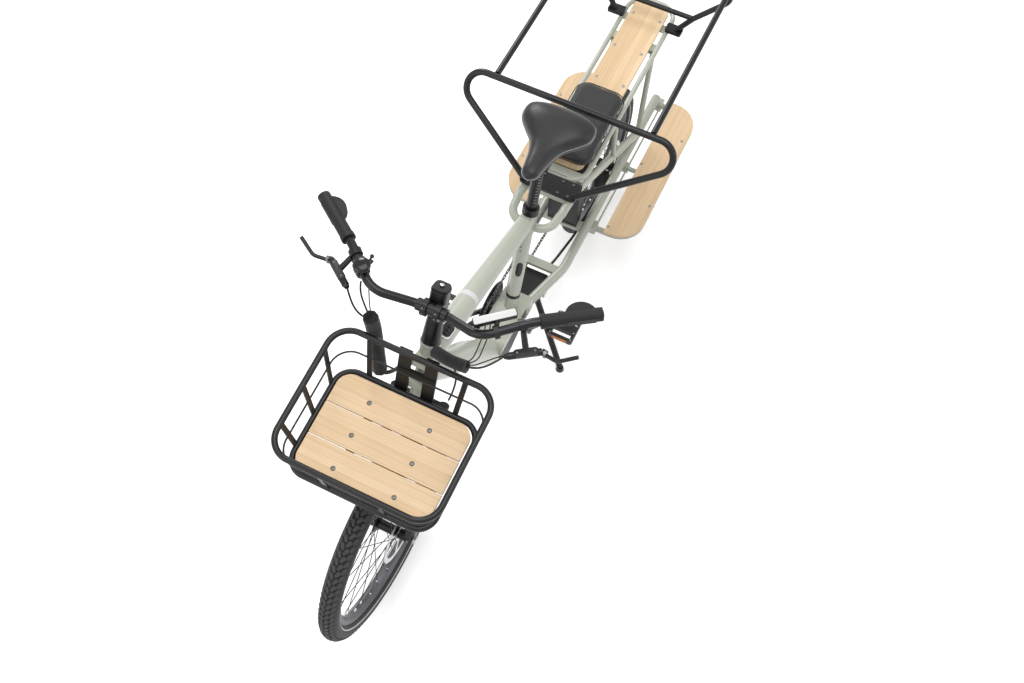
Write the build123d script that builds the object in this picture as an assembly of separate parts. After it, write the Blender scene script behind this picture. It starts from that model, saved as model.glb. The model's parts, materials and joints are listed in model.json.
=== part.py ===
"""A longtail cargo bicycle with a pedal-assist motor.

A low frame with a stretched tail carries a deck with a cushion and a grab rail around it, two
footboards over a small rear wheel, and a basket fixed in front of the head tube over a larger
front wheel. A two-leg centre stand under the motor holds it upright.

Units are millimetres. +X points forward, +Y to the rider's left and +Z up. The floor is z = 0
and the origin lies under the middle of the bicycle's length. Places are given from the point
under the rear axle, which the function at() moves into that frame."""

from build123d import *
from math import asin, atan2, cos, pi, radians, sin, sqrt
import os

os.makedirs("parts", exist_ok=True)

# ---------------------------------------------------------------- clearances
RUNNING_CLEARANCE = 0.05
SEAT_GAP = 0.3

# ---------------------------------------------------------------- wheels
WHEELBASE = 1450
FRONT_WHEEL_RADIUS = 334
REAR_WHEEL_RADIUS = 258
TYRE_WIDTH = 56
TYRE_SEAT_DEPTH = 50
RIM_WIDTH = 31
RIM_DEPTH = 21
RIM_NOSE_WIDTH = 12
AXLE_RADIUS = 6
HUB_RADIUS = 15
FLANGE_RADIUS = 29
FLANGE_THICKNESS = 4
FLANGE_SIDE = 27
FLANGE_TAPER = 4
SPOKE_SEAT = 4
FRONT_HUB_LENGTH = 100
REAR_HUB_LENGTH = 135
SPOKE_RADIUS = 1.1
SPOKE_COUNT = 32
SPOKE_CROSSING = 62
DISC_RADIUS = 90
DISC_THICKNESS = 2
DISC_SIDE = 39
DISC_TRACK = 15
DISC_ARM_WIDTH = 9
DISC_ARMS = 6

# ---------------------------------------------------------------- steering
HEAD_ANGLE = 65
FORK_OFFSET = 49
CROWN_TOP = 464
CROWN_HEIGHT = 34
HEAD_LENGTH = 180
HEAD_RADIUS = 24
CUP_HEIGHT = 7
CUP_RADIUS = 27
STEERER_RADIUS = 14.3
STANCHION_RADIUS = 15
LOWER_RADIUS = 19
FORK_SIDE = 67
LOWER_LENGTH = 300
LOWER_TAPER = 4
LOWER_AHEAD = 19
LOWER_OVERLAP = 40
AXLE_NUT_WALL = 6
COLUMN_LENGTH = 100
COLUMN_RADIUS = 19
STEM_HEIGHT = 60
STEM_WIDTH = 44
STEM_REACH = 34
BAR_DROP = 44
CLAMP_BAND_WIDTH = 14
CLAMP_BAND_SIDE = 17

BAR_RADIUS = 11.1
BAR_CLAMP_RADIUS = 15.9
BAR_CLAMP_LENGTH = 78
BAR_FORWARD = 34
BAR_RISE = 40
BAR_SHOULDER = 140
BAR_ELBOW_BACK = 47
BAR_ELBOW_RISE = 50
BAR_ELBOW_SIDE = 233
BAR_SWEEP = 139
BAR_END_RISE = 45
BAR_HALF_WIDTH = 363
BAR_BENDS = (60, 60, 100)
GRIP_LENGTH = 140
GRIP_RADIUS = 16.5
GRIP_COLLAR = 12
WING_LENGTH = 76
WING_DEPTH = 35
WING_THICKNESS = 16
LEVER_SETBACK = 22
SHIFTER_SETBACK = 46
BELL_SETBACK = 72
BELL_RADIUS = 18
SCREEN_LENGTH = 104
SCREEN_WIDTH = 20
SCREEN_THICKNESS = 14
SCREEN_GAP = 8
CLAMP_WALL = 5

# ---------------------------------------------------------------- frame
BB_X = 690
BB_Z = 285
MOTOR_HALF_WIDTH = 38
MOTOR_ROUNDS = ((0, 0, 50), (100, 20, 42), (60, -30, 42))
CRADLE_WALL = 7
CRADLE_HALF_WIDTH = 45
CRADLE_EDGE = 42
SEAT_TUBE_RADIUS = 20
SEAT_TUBE_TOP_X = 560
SEAT_TUBE_TOP_Z = 690
MAIN_TUBE_RADIUS = 32
MAIN_TUBE_TAPER = 8
TUBE_ROOT_RADIUS = 24
DOWN_TUBE_RADIUS = 39
DOWN_TUBE_UP = 70
DOWN_TUBE_BEND = 350
REAR_JOINT_X = 500
REAR_YOKE_X = 612
SIDE_TUBE_RADIUS = 15
SIDE_TUBE_Z = 288
SIDE_TUBE_FRONT = 26
SIDE_TUBE_SIDE = 79
SIDE_TUBE_BEND_X = 452
SIDE_TUBE_BEND = 160
LOOP_SIDE = 70
LOOP_FRONT_X = 568
LOOP_Z = 640
STRUT_RADIUS = 12.5
STRUT_KNEE_X = 390
STRUT_KNEE_Z = 622
STRUT_FOOT_X = -150
POST_STRUT_RADIUS = 8
POST_STRUT_X = 100
REAR_POST_X = -205
HOOP_FOOT_X = 436
HOOP_FOOT_SIDE = 77
HOOP_SEAT_Z = 646
HOOP_PLATE_REAR = 387
HOOP_PLATE_THICKNESS = 8
DROPOUT_THICKNESS = 6
DROPOUT_LENGTH = 52
CROSS_PLATE_THICKNESS = 12
FRONT_PLATE_X = 470
BATTERY_HALF_WIDTH = 50
BATTERY_FRONT = 297
BATTERY_REAR = 267
BATTERY_TOP_REAR = 208
BATTERY_SHOULDER_Z = 470
BATTERY_TOP = 560

# ---------------------------------------------------------------- seat
SEATPOST_RADIUS = 15.9
COLLAR_HEIGHT = 22
COLLAR_WALL = 4
SADDLE_CLAMP_DROP = 12
SADDLE_RAIL_RADIUS = 3.5
SADDLE_RAIL_SIDE = 22
SADDLE_REAR = 343
SADDLE_NOSE = 597
SADDLE_WIDTH = 212
SADDLE_TOP = 928
SADDLE_DEPTH = 52
SADDLE_WING_RADIUS = 48
SADDLE_WAIST_RADIUS = 36
SADDLE_NOSE_RADIUS = 23

# ---------------------------------------------------------------- tail
DECK_TOP = 650
DECK_THICKNESS = 12
DECK_WIDTH = 116
DECK_FRONT = 335
DECK_REAR = -362
DECK_CORNER = 22
RAIL_RADIUS = 8
RAIL_SIDE = 77
RAIL_FRONT = 376
RAIL_REAR = -388
RACK_PLATE = 6
RACK_CORNER = 60
RACK_PLATE_LENGTH = 28
RACK_SPACER_LENGTH = 24
RACK_SPACER_SIDE = 50
RACK_FRONT_POST_X = 352
GRAB_RADIUS = 10
GRAB_Z = 865
GRAB_SIDE = 237
GRAB_FRONT = 299
GRAB_REAR = -345
GRAB_CORNER = 415
GRAB_KNEE_Z = 782
GRAB_LOW_X = -307
GRAB_LOW_SIDE = 147
GRAB_LOW_Z = 706
GRAB_PAD_X = -292
GRAB_PAD_LENGTH = 35
GRAB_PAD_OUTER = 125
GRAB_PAD_HEIGHT = 11
GRAB_BEND = 30
HOOP_BEND = 50
CUSHION_FRONT = 335
CUSHION_REAR = 32
CUSHION_WIDTH = 164
CUSHION_HEIGHT = 34
CUSHION_CORNER = 42

BOARD_TOP = 277
BOARD_THICKNESS = 12
BOARD_INNER = 134
BOARD_OUTER = 241
BOARD_FRONT = 259
BOARD_REAR = -331
BOARD_CORNER = 88
BOARD_TUBE_RADIUS = 10
BOARD_SOCKET_LENGTH = 34
BOARD_WIRE_RADIUS = 3
BOARD_WIRE_SIDE = 101
BOARD_MIDDLE_X = -21

# ---------------------------------------------------------------- basket
BASKET_UP = 542.3
BASKET_AHEAD = 215.8
BASKET_TILT = 6
BASKET_LENGTH = 349
BASKET_WIDTH = 432
BASKET_FLOOR_LENGTH = 288
BASKET_FLOOR_WIDTH = 387
BASKET_HEIGHT = 118
BASKET_TUBE_RADIUS = 8
BASKET_CORNER = 58
BASKET_FLOOR_CORNER = 48
BASKET_BAR_THICKNESS = 6
BASKET_BOARD_GAP = 3
BASKET_SLAT_WIDTH = 14
BASKET_SLAT_THICKNESS = 4
BASKET_WIRE_RADIUS = 2.5
BASKET_BEARER_SIDE = 70
BASKET_BEARER_WIDTH = 22
POST_SIDE = 36
POST_WIDTH = 34
POST_THICKNESS = 5
BASKET_BOARD_THICKNESS = 10

# ---------------------------------------------------------------- drive and stand
CRANK_LENGTH = 170
CRANK_ANGLE = 228
CRANK_SIDE = 74
CRANK_FLARE = 16
CRANK_THICKNESS = 14
PEDAL_LENGTH = 92
PEDAL_WIDTH = 84
PEDAL_HEIGHT = 22
PEDAL_AXLE_RADIUS = 5
PEDAL_STANDOFF = 10
PEDAL_BARREL_HALF = 15
PEDAL_CAGE_WALL = 10
CRANK_BOSS_RADIUS = 19
CRANK_TIP_RADIUS = 13
SPINDLE_RADIUS = 12
CHAIN_SIDE = 58
CHAIN_WIDTH = 7
CHAIN_HEIGHT = 9
CHAINRING_RADIUS = 77
CHAINRING_THICKNESS = 3
CHAINRING_RIM = 12
CHAINRING_ARMS = 5
SPROCKET_RADIUS = 42
SPROCKET_COUNT = 3
SPROCKET_STEP = 8
SPROCKET_SPACING = 6
GUARD_RADIUS = 97
GUARD_THICKNESS = 3
GUARD_GAP = 2.5
JOCKEY_RADIUS = 22
DERAILLEUR_BODY_RADIUS = 9
GUIDE_X = 10
GUIDE_Z = 190
TENSION_X = -22
TENSION_Z = 150
STAND_X = 530
STAND_Z = 180
STAND_PLATE_Z = 246
STAND_PLATE_THICKNESS = 8
COVER_FRONT = 600
COVER_REAR = 486
COVER_HEIGHT = 15
COVER_FRONT_SIDE = 26
COVER_REAR_SIDE = 48
STAND_BOSS_HALF = 16
STAND_BOSS_RADIUS = 13
STAND_HUB_WIDTH = 20
STAND_HUB_RADIUS = 13
STAND_PIN_RADIUS = 5
STAND_FOOT_X = 643
STAND_FOOT_SIDE = 171
STAND_TUBE_RADIUS = 10
STAND_FOOT_RADIUS = 14
STAND_FOOT_HEIGHT = 12
STAND_MOUNT_HALF = 24
STAND_WEB_SIDE = 52
STAND_WEB_THICKNESS = 8

RACK_POST_PLACES = (REAR_POST_X, POST_STRUT_X, RACK_FRONT_POST_X)
ROW_SHIFT = -(WHEELBASE + FRONT_WHEEL_RADIUS + RAIL_REAR - RAIL_RADIUS) / 2


# ---------------------------------------------------------------- helpers
def at(x, y, z):
    """A point given from under the rear axle."""
    return Vector(x + ROW_SHIFT, y, z)


STEER_UP = Vector(-cos(radians(HEAD_ANGLE)), 0, sin(radians(HEAD_ANGLE)))
STEER_AHEAD = Vector(sin(radians(HEAD_ANGLE)), 0, cos(radians(HEAD_ANGLE)))
FRONT_AXLE = at(WHEELBASE, 0, FRONT_WHEEL_RADIUS)
REAR_AXLE = at(0, 0, REAR_WHEEL_RADIUS)
STEER_ORIGIN = FRONT_AXLE - STEER_AHEAD * FORK_OFFSET
HEAD_LOW = CROWN_TOP + 1
HEAD_HIGH = HEAD_LOW + HEAD_LENGTH
STEM_LOW = HEAD_HIGH + 1 + COLUMN_LENGTH
STEM_TOP = STEM_LOW + STEM_HEIGHT


def steer(up, ahead=0, side=0):
    """A point of the steering: up the steerer from beside the axle, ahead of it and to its left."""
    return STEER_ORIGIN + STEER_UP * up + STEER_AHEAD * ahead + Vector(0, side, 0)


def rod(start, end, radius, end_radius=None):
    """A round bar, or a cone where the ends differ."""
    plane = Plane(origin=start, z_dir=end - start)
    length = (end - start).length
    foot = (Align.CENTER, Align.CENTER, Align.MIN)
    if end_radius is None:
        return plane * Cylinder(radius, length, align=foot)
    return plane * Cone(radius, end_radius, length, align=foot)


def pipe(points, radius, bend):
    """A round bar through the points, bent at each inner one."""
    path = FilletPolyline(*points, radius=bend)
    return sweep(Plane(origin=path @ 0, z_dir=path % 0) * Circle(radius), path=path)


def ring_pipe(centre, length, width, corner, radius):
    """A closed loop of round bar lying flat, with rounded corners."""
    path = (Pos(*centre) * RectangleRounded(length, width, corner)).wires()[0]
    return sweep(Plane(origin=path @ 0, z_dir=path % 0) * Circle(radius), path=path)


def block(low, high):
    """A box between two opposite corners."""
    size = high - low
    return Pos(*((low + high) / 2)) * Box(size.X, size.Y, size.Z)


def across(centre, radius, low_side, high_side):
    """A round bar that lies across the bicycle, from one side to the other."""
    return rod(centre + Vector(0, low_side, 0), centre + Vector(0, high_side, 0), radius)


def mirrored(shape):
    """The same piece on the bicycle's other side."""
    return mirror(shape, about=Plane.XZ)


def fuse(shapes):
    first, *rest = shapes
    return first.fuse(*rest)


def hull_of(rounds):
    """The tight outline round circles, each given as (x, y, radius)."""
    circles = [Pos(x, y) * CenterArc((0, 0), radius, 0, 360) for x, y, radius in rounds]
    return make_hull([edge for circle in circles for edge in circle.edges()])


PARTS = {}


def keep(name, *shapes):
    """Store one sub-part, of one or more solids."""
    solids = [solid for shape in shapes for solid in shape.solids()]
    PARTS[name] = Compound(solids) if len(solids) > 1 else solids[0]


# ---------------------------------------------------------------- wheels
def tyre(centre, radius):
    """A round-section tyre whose flat inner side sits just off the rim."""
    section = TYRE_WIDTH / 2
    bead = radius - TYRE_SEAT_DEPTH
    round_face = Pos(radius - section, 0) * Circle(section)
    inside = Pos(bead - section, 0) * Rectangle(2 * section, 2 * TYRE_WIDTH)
    ring = revolve(round_face - inside, Axis.Y)
    return Pos(*centre) * ring


def turned(centre, outline):
    """A ring about the wheel's axle line, from an outline of (radius, side) points."""
    face = make_face(Polyline(*outline, close=True))
    return Pos(*centre) * revolve(face, Axis.Y)


def rim_inner_radius(radius):
    return radius - TYRE_SEAT_DEPTH - SEAT_GAP - RIM_DEPTH


def spoke(centre, index, radius):
    """One spoke: odd ones go to the left flange, and neighbours on a flange cross."""
    side = 1 if index % 2 else -1
    lead = 1 if index // 2 % 2 else -1
    rim_turn = 2 * pi * index / SPOKE_COUNT
    hub_turn = rim_turn + lead * radians(SPOKE_CROSSING)
    flange_middle = FLANGE_SIDE + FLANGE_THICKNESS / 2
    reach = FLANGE_RADIUS - SPOKE_SEAT
    depth = rim_inner_radius(radius) + 3
    hub_side = side * flange_middle + lead * SPOKE_RADIUS * 1.2
    inner = Vector(reach * cos(hub_turn), hub_side, reach * sin(hub_turn))
    outer = Vector(depth * cos(rim_turn), side * 2, depth * sin(rim_turn))
    return Pos(*centre) * rod(inner, outer, SPOKE_RADIUS)


def spoked_wheel(centre, radius, hub_length):
    """Rim, hub and crossed spokes as one wheel."""
    outer, inner = rim_inner_radius(radius) + RIM_DEPTH, rim_inner_radius(radius)
    wall, nose = RIM_WIDTH / 2, RIM_NOSE_WIDTH / 2
    shoulder = inner + RIM_DEPTH / 2.5
    rim_left = [(outer, wall), (shoulder, wall), (inner, nose)]
    rim = turned(centre, [(r, -s) for r, s in rim_left] + rim_left[::-1])
    bore, half = AXLE_RADIUS + RUNNING_CLEARANCE, hub_length / 2
    low, high = FLANGE_SIDE, FLANGE_SIDE + FLANGE_THICKNESS
    flange = [(FLANGE_RADIUS, high), (FLANGE_RADIUS, low), (HUB_RADIUS, low - FLANGE_TAPER)]
    left = [(bore, half), (HUB_RADIUS, half), (HUB_RADIUS, high)] + flange
    hub = turned(centre, left + [(r, -s) for r, s in reversed(left)])
    return fuse([rim, hub] + [spoke(centre, i, radius) for i in range(SPOKE_COUNT)])


def brake_disc(centre):
    """A flat steel ring on a six-arm spider that sits on the hub."""
    hole = HUB_RADIUS + RUNNING_CLEARANCE
    plate = Circle(DISC_RADIUS) - Circle(DISC_RADIUS - DISC_TRACK) + Circle(HUB_RADIUS + 9)
    reach = DISC_RADIUS - DISC_TRACK / 2
    for turn in PolarLocations(0, DISC_ARMS):
        plate += turn * Pos(reach / 2, 0) * Rectangle(reach, DISC_ARM_WIDTH)
    plate -= Circle(hole)
    face = Plane(origin=centre + Vector(0, DISC_SIDE, 0), x_dir=(1, 0, 0), z_dir=(0, 1, 0))
    return face * extrude(plate, DISC_THICKNESS)


def band(centre, inner, outer, low, high):
    """A plain ring about the wheel's axle line, from one side to the other."""
    return turned(centre, [(inner, low), (outer, low), (outer, high), (inner, high)])


def cassette():
    """Sprockets of growing size towards the wheel, as one stepped ring."""
    inner = HUB_RADIUS + RUNNING_CLEARANCE
    pieces = [band(REAR_AXLE, inner, inner + 6, -CHAIN_SIDE - 3, -CHAIN_SIDE + 14)]
    for step in range(SPROCKET_COUNT):
        radius = SPROCKET_RADIUS - CHAIN_HEIGHT / 2 - SEAT_GAP + SPROCKET_STEP * step
        middle = -CHAIN_SIDE + SPROCKET_SPACING * step
        pieces.append(band(REAR_AXLE, inner, radius, middle - 1, middle + 1))
    return fuse(pieces)


def make_wheels():
    keep("front_tyre", tyre(FRONT_AXLE, FRONT_WHEEL_RADIUS))
    keep("front_wheel", spoked_wheel(FRONT_AXLE, FRONT_WHEEL_RADIUS, FRONT_HUB_LENGTH))
    keep("front_disc", brake_disc(FRONT_AXLE))
    keep("rear_tyre", tyre(REAR_AXLE, REAR_WHEEL_RADIUS))
    keep("rear_wheel", spoked_wheel(REAR_AXLE, REAR_WHEEL_RADIUS, REAR_HUB_LENGTH))
    keep("rear_disc", brake_disc(REAR_AXLE))
    keep("rear_cassette", cassette())


# ---------------------------------------------------------------- fork and cockpit
def fork_lower(side, grow):
    """A lower leg, larger all round by grow."""
    low, high = steer(0, FORK_OFFSET, side), steer(LOWER_LENGTH, LOWER_AHEAD, side)
    return rod(low, high, LOWER_RADIUS - LOWER_TAPER + grow, LOWER_RADIUS + grow)


def make_fork():
    """A telescopic fork: legs, crown and steerer, with the axle through both legs."""
    steerer = rod(steer(CROWN_TOP - CROWN_HEIGHT), steer(STEM_TOP), STEERER_RADIUS)
    crown_middle = CROWN_TOP - CROWN_HEIGHT / 2
    crown = rod(steer(crown_middle, 0, -FORK_SIDE), steer(crown_middle, 0, FORK_SIDE), CROWN_HEIGHT / 2)
    race = rod(steer(crown_middle), steer(CROWN_TOP), CUP_RADIUS)
    pieces = [steerer, crown, race]
    for sign in (-1, 1):
        side = sign * FORK_SIDE
        low = steer(LOWER_LENGTH - LOWER_OVERLAP, LOWER_AHEAD + 3, side)
        pieces.append(rod(low, steer(CROWN_TOP, 0, side), STANCHION_RADIUS))
        pieces.append(fork_lower(side, 0))
        inner = FRONT_HUB_LENGTH / 2 + SEAT_GAP
        pieces.append(across(FRONT_AXLE, LOWER_RADIUS - LOWER_TAPER, *sorted((sign * inner, side))))
    bore = across(FRONT_AXLE, AXLE_RADIUS + RUNNING_CLEARANCE, -2 * FORK_SIDE, 2 * FORK_SIDE)
    keep("fork", fuse(pieces) - bore)
    reach = FORK_SIDE + LOWER_RADIUS
    pieces = [across(FRONT_AXLE, AXLE_RADIUS, -reach, reach)]
    for span in ((reach - 3.5, reach + 4), (-reach - 4, -reach + 3.5)):
        pieces.append(across(FRONT_AXLE, AXLE_RADIUS + AXLE_NUT_WALL, *span))
    keep("front_axle", fuse(pieces))


def bar_centre():
    return steer(STEM_TOP - BAR_DROP, STEM_REACH)


def bar_points():
    """The bar's left half: clamp end, shoulder, elbow, and the end of the grip."""
    middle = bar_centre()
    clamp_end = middle + Vector(0, BAR_CLAMP_LENGTH / 2, 0)
    shoulder = middle + Vector(BAR_FORWARD, BAR_SHOULDER, BAR_RISE)
    elbow = middle + Vector(-BAR_ELBOW_BACK, BAR_ELBOW_SIDE, BAR_ELBOW_RISE)
    end = middle + Vector(-BAR_SWEEP, BAR_HALF_WIDTH, BAR_END_RISE)
    return clamp_end, shoulder, elbow, end


def bar_directions():
    """Unit vectors along the bar's rising part, along its grip, and level ahead of the grip."""
    clamp_end, shoulder, elbow, end = bar_points()
    along, outward = (elbow - shoulder).normalized(), (end - elbow).normalized()
    ahead = Vector(outward.Y, -outward.X, 0).normalized()
    return along, outward, ahead


def make_stem():
    """The flared column over the head tube, the stem with two clamp bands, and its lid."""
    bore = rod(steer(HEAD_HIGH), steer(STEM_TOP), STEERER_RADIUS + RUNNING_CLEARANCE)
    column = rod(steer(HEAD_HIGH + 1), steer(STEM_LOW - SEAT_GAP), CUP_RADIUS - 2, COLUMN_RADIUS)
    keep("stem_column", column - bore)
    middle = bar_centre()
    plane = Plane(origin=steer(STEM_LOW), x_dir=STEER_AHEAD, z_dir=STEER_UP)
    tower = plane * extrude(RectangleRounded(STEM_WIDTH, STEM_WIDTH, 14), STEM_HEIGHT)
    low, high = CLAMP_BAND_SIDE - CLAMP_BAND_WIDTH / 2, CLAMP_BAND_SIDE + CLAMP_BAND_WIDTH / 2
    bands = [across(middle, BAR_CLAMP_RADIUS + 6, *span) for span in ((low, high), (-high, -low))]
    bar_bore = across(middle, BAR_CLAMP_RADIUS + RUNNING_CLEARANCE, -STEM_WIDTH, STEM_WIDTH)
    keep("stem", fuse([tower] + bands) - bore - bar_bore)
    lid = Plane(origin=steer(STEM_TOP + SEAT_GAP), x_dir=STEER_AHEAD, z_dir=STEER_UP)
    cap = lid * extrude(RectangleRounded(STEM_WIDTH - 4, STEM_WIDTH - 4, 12), 5)
    bolt = lid * Pos(0, 0, 5) * Cylinder(5, 4, align=(Align.CENTER, Align.CENTER, Align.MIN))
    keep("stem_cap", fuse([cap, bolt]))


def bar_ring(place, direction, half_width):
    """A clamp round the bar, not yet bored."""
    return rod(place - direction * half_width, place + direction * half_width, BAR_RADIUS + CLAMP_WALL)


def bar_bore(place, direction):
    """What the bar takes out of a clamp."""
    reach = direction * 30
    return rod(place - reach, place + reach, BAR_RADIUS + RUNNING_CLEARANCE)


def grip():
    """A hand grip with a collar at its inner end and a flat wing behind for the palm."""
    outward, ahead = bar_directions()[1:]
    end = bar_points()[-1]
    start = end - outward * GRIP_LENGTH
    body = rod(start, end + outward * 4, GRIP_RADIUS)
    collar = rod(start, start + outward * GRIP_COLLAR, GRIP_RADIUS + 1.5)
    place = end - outward * (WING_LENGTH / 2 + 8)
    plane = Plane(origin=place, x_dir=outward, z_dir=ahead.cross(outward) * -1)
    wing = extrude(Ellipse(WING_LENGTH / 2, WING_DEPTH), WING_THICKNESS / 2, both=True)
    body = fuse([body, collar, plane * wing])
    front = Plane(origin=place + ahead * GRIP_RADIUS, x_dir=outward, z_dir=ahead)
    foot = (Align.CENTER, Align.CENTER, Align.MIN)
    body -= front * Box(WING_LENGTH, 2 * WING_THICKNESS, WING_DEPTH, align=foot)
    return body - rod(start - outward, end + outward * SEAT_GAP, BAR_RADIUS + RUNNING_CLEARANCE)


def brake_lever():
    """A clamp, an arm to the master cylinder, and a hooked blade from its pivot."""
    along, outward, ahead = bar_directions()
    up = Vector(0, 0, 1)
    perch = bar_points()[2] - along * LEVER_SETBACK
    pivot = perch + outward * 42 + ahead * 59 - up * 44
    root = pivot - outward * 5 - ahead * 8
    far = root - outward * 80
    knee = pivot + outward * 24 + ahead * 26 + up * 8
    tip = perch + outward * 112 + ahead * 92 - up * 12
    pieces = [bar_ring(perch, along, 8), rod(far, root, 9), rod(far - outward * 8, far, 6, 8)]
    pieces.append(rod(perch + ahead * 12 - up * 10, root - outward * 36, 7, 8))
    pieces.append(rod(root, pivot + outward * 6, 9, 7))
    pieces.append(pipe([pivot, knee, tip], 5, 24))
    return fuse(pieces) - bar_bore(perch, along)


def shifter_pod():
    """A gear shifter under the bar, with its two thumb levers, on a clamp of its own."""
    along, outward, ahead = bar_directions()
    place = bar_points()[2] - along * SHIFTER_SETBACK
    centre = place - Vector(0, 0, 30) - outward * 3
    plane = Plane(origin=centre, x_dir=outward, z_dir=(0, 0, 1))
    pod = plane * extrude(RectangleRounded(40, 34, 12), 9, both=True)
    lever = rod(centre - ahead * 10, centre - ahead * 34 + outward * 8, 5, 4)
    neck = rod(place, centre, 7)
    return fuse([bar_ring(place, along, 6), neck, pod, lever]) - bar_bore(place, along)


def bell():
    """A low dome on a foot that clamps the bar."""
    along = bar_directions()[0]
    place = bar_points()[2] - along * BELL_SETBACK
    plane = Plane(origin=place + Vector(0, 0, BAR_RADIUS + 6), z_dir=(0, 0, 1))
    dome = Cylinder(BELL_RADIUS, 14, align=(Align.CENTER, Align.CENTER, Align.MIN))
    dome = fillet(dome.edges().sort_by(Axis.Z)[-1], 11)
    foot = rod(place, place + Vector(0, 0, BAR_RADIUS + 8), 6)
    return fuse([bar_ring(place, along, 6), foot, plane * dome]) - bar_bore(place, along)


def display():
    """A slim screen behind the bar, beside the stem, on an arm from its clamp."""
    along = bar_directions()[0]
    level = Vector(along.X, along.Y, 0).normalized()
    ahead = Vector(level.Y, -level.X, 0)
    place = bar_points()[1] + along * 40
    centre = place - ahead * (BAR_RADIUS + SCREEN_WIDTH / 2 + SCREEN_GAP) + Vector(0, 0, 14) + level * 4
    plane = Plane(origin=centre, x_dir=level, z_dir=(0, 0, 1))
    face = RectangleRounded(SCREEN_LENGTH, SCREEN_WIDTH, 5)
    screen = plane * extrude(face, SCREEN_THICKNESS / 2, both=True)
    arm = rod(place - ahead * 6, centre + level * 8, 6)
    return fuse([bar_ring(place, along, 6), arm, screen]) - bar_bore(place, along)


def make_cockpit():
    clamp_end, shoulder, elbow, end = bar_points()
    middle = across(bar_centre(), BAR_CLAMP_RADIUS, -BAR_CLAMP_LENGTH / 2, BAR_CLAMP_LENGTH / 2)
    inside = clamp_end - Vector(0, BAR_CLAMP_LENGTH / 4, 0)
    half = pipe([inside, clamp_end, shoulder, elbow, end], BAR_RADIUS, BAR_BENDS)
    keep("handlebar", fuse([middle, half, mirrored(half)]))
    keep("grips", grip(), mirrored(grip()))
    keep("brake_levers", brake_lever(), mirrored(brake_lever()))
    keep("shifter", mirrored(shifter_pod()))
    keep("bell", mirrored(bell()))
    keep("display", display())


# ---------------------------------------------------------------- frame
def motor_face(grow):
    """The motor casing's outline in the side view, larger by grow."""
    return hull_of([(x, z, radius + grow) for x, z, radius in MOTOR_ROUNDS])


def side_plane_at(x, z, side):
    """A plane in the side view, its normal towards the rider's right."""
    return Plane(origin=at(x, side, z), x_dir=(1, 0, 0), z_dir=(0, -1, 0))


def side_plane(side):
    return side_plane_at(BB_X, BB_Z, side)


def motor_solid(grow, half_width):
    return side_plane(half_width) * extrude(motor_face(grow), 2 * half_width)


def seat_direction():
    return (at(SEAT_TUBE_TOP_X, 0, SEAT_TUBE_TOP_Z) - at(BB_X, 0, BB_Z)).normalized()


def down_tube():
    """The fat lower tube: a cone out of the head tube, then one long bend to the motor."""
    root = steer(HEAD_LOW + DOWN_TUBE_UP)
    knee = at(BB_X + 290, 0, BB_Z + 265)
    foot = at(BB_X + 146, 0, BB_Z + 33)
    thick = root + (knee - root).normalized() * 150
    cone = rod(root, thick, TUBE_ROOT_RADIUS, DOWN_TUBE_RADIUS)
    return cone.fuse(pipe([thick, knee, foot], DOWN_TUBE_RADIUS, DOWN_TUBE_BEND))


def main_tube():
    """The upper tube, which swells out of the head tube and tapers to the seat tube."""
    root = steer(HEAD_HIGH - 42)
    rear = at(SEAT_TUBE_TOP_X + 16, 0, SEAT_TUBE_TOP_Z - 14)
    swell = root + (rear - root).normalized() * 60
    thin = MAIN_TUBE_RADIUS - MAIN_TUBE_TAPER
    cone = rod(root, swell, TUBE_ROOT_RADIUS, MAIN_TUBE_RADIUS)
    return cone.fuse(rod(swell, rear, MAIN_TUBE_RADIUS, thin))


def seat_loop():
    """The bent tube through the seat tube that starts the upper rear tubes."""
    points = [at(REAR_JOINT_X - 20, LOOP_SIDE, LOOP_Z), at(LOOP_FRONT_X, LOOP_SIDE - 8, LOOP_Z)]
    points += [Vector(point.X, -point.Y, point.Z) for point in reversed(points)]
    return pipe(points, STRUT_RADIUS, 45)


def cradle():
    """The shell over the motor, open below."""
    shell = motor_solid(CRADLE_WALL, CRADLE_HALF_WIDTH)
    low, high = at(BB_X - 200, -90, 0), at(BB_X + 300, 90, BB_Z + CRADLE_EDGE)
    return shell - block(low, high)


def basket_arms():
    """Two blocks on the head tube that reach the basket's posts."""
    arms = []
    for up in (HEAD_LOW + 62, HEAD_HIGH - 44):
        plane = Plane(origin=steer(up, 35), x_dir=STEER_AHEAD, z_dir=STEER_UP)
        arms.append(plane * Box(70, 44, 20))
    below = (Align.CENTER, Align.CENTER, Align.MAX)
    front_space = Pos(0, 0, POST_THICKNESS) * Box(400, 400, 200, align=below)
    return fuse(arms) - basket_place() * (basket_back_plane() * front_space)


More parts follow.
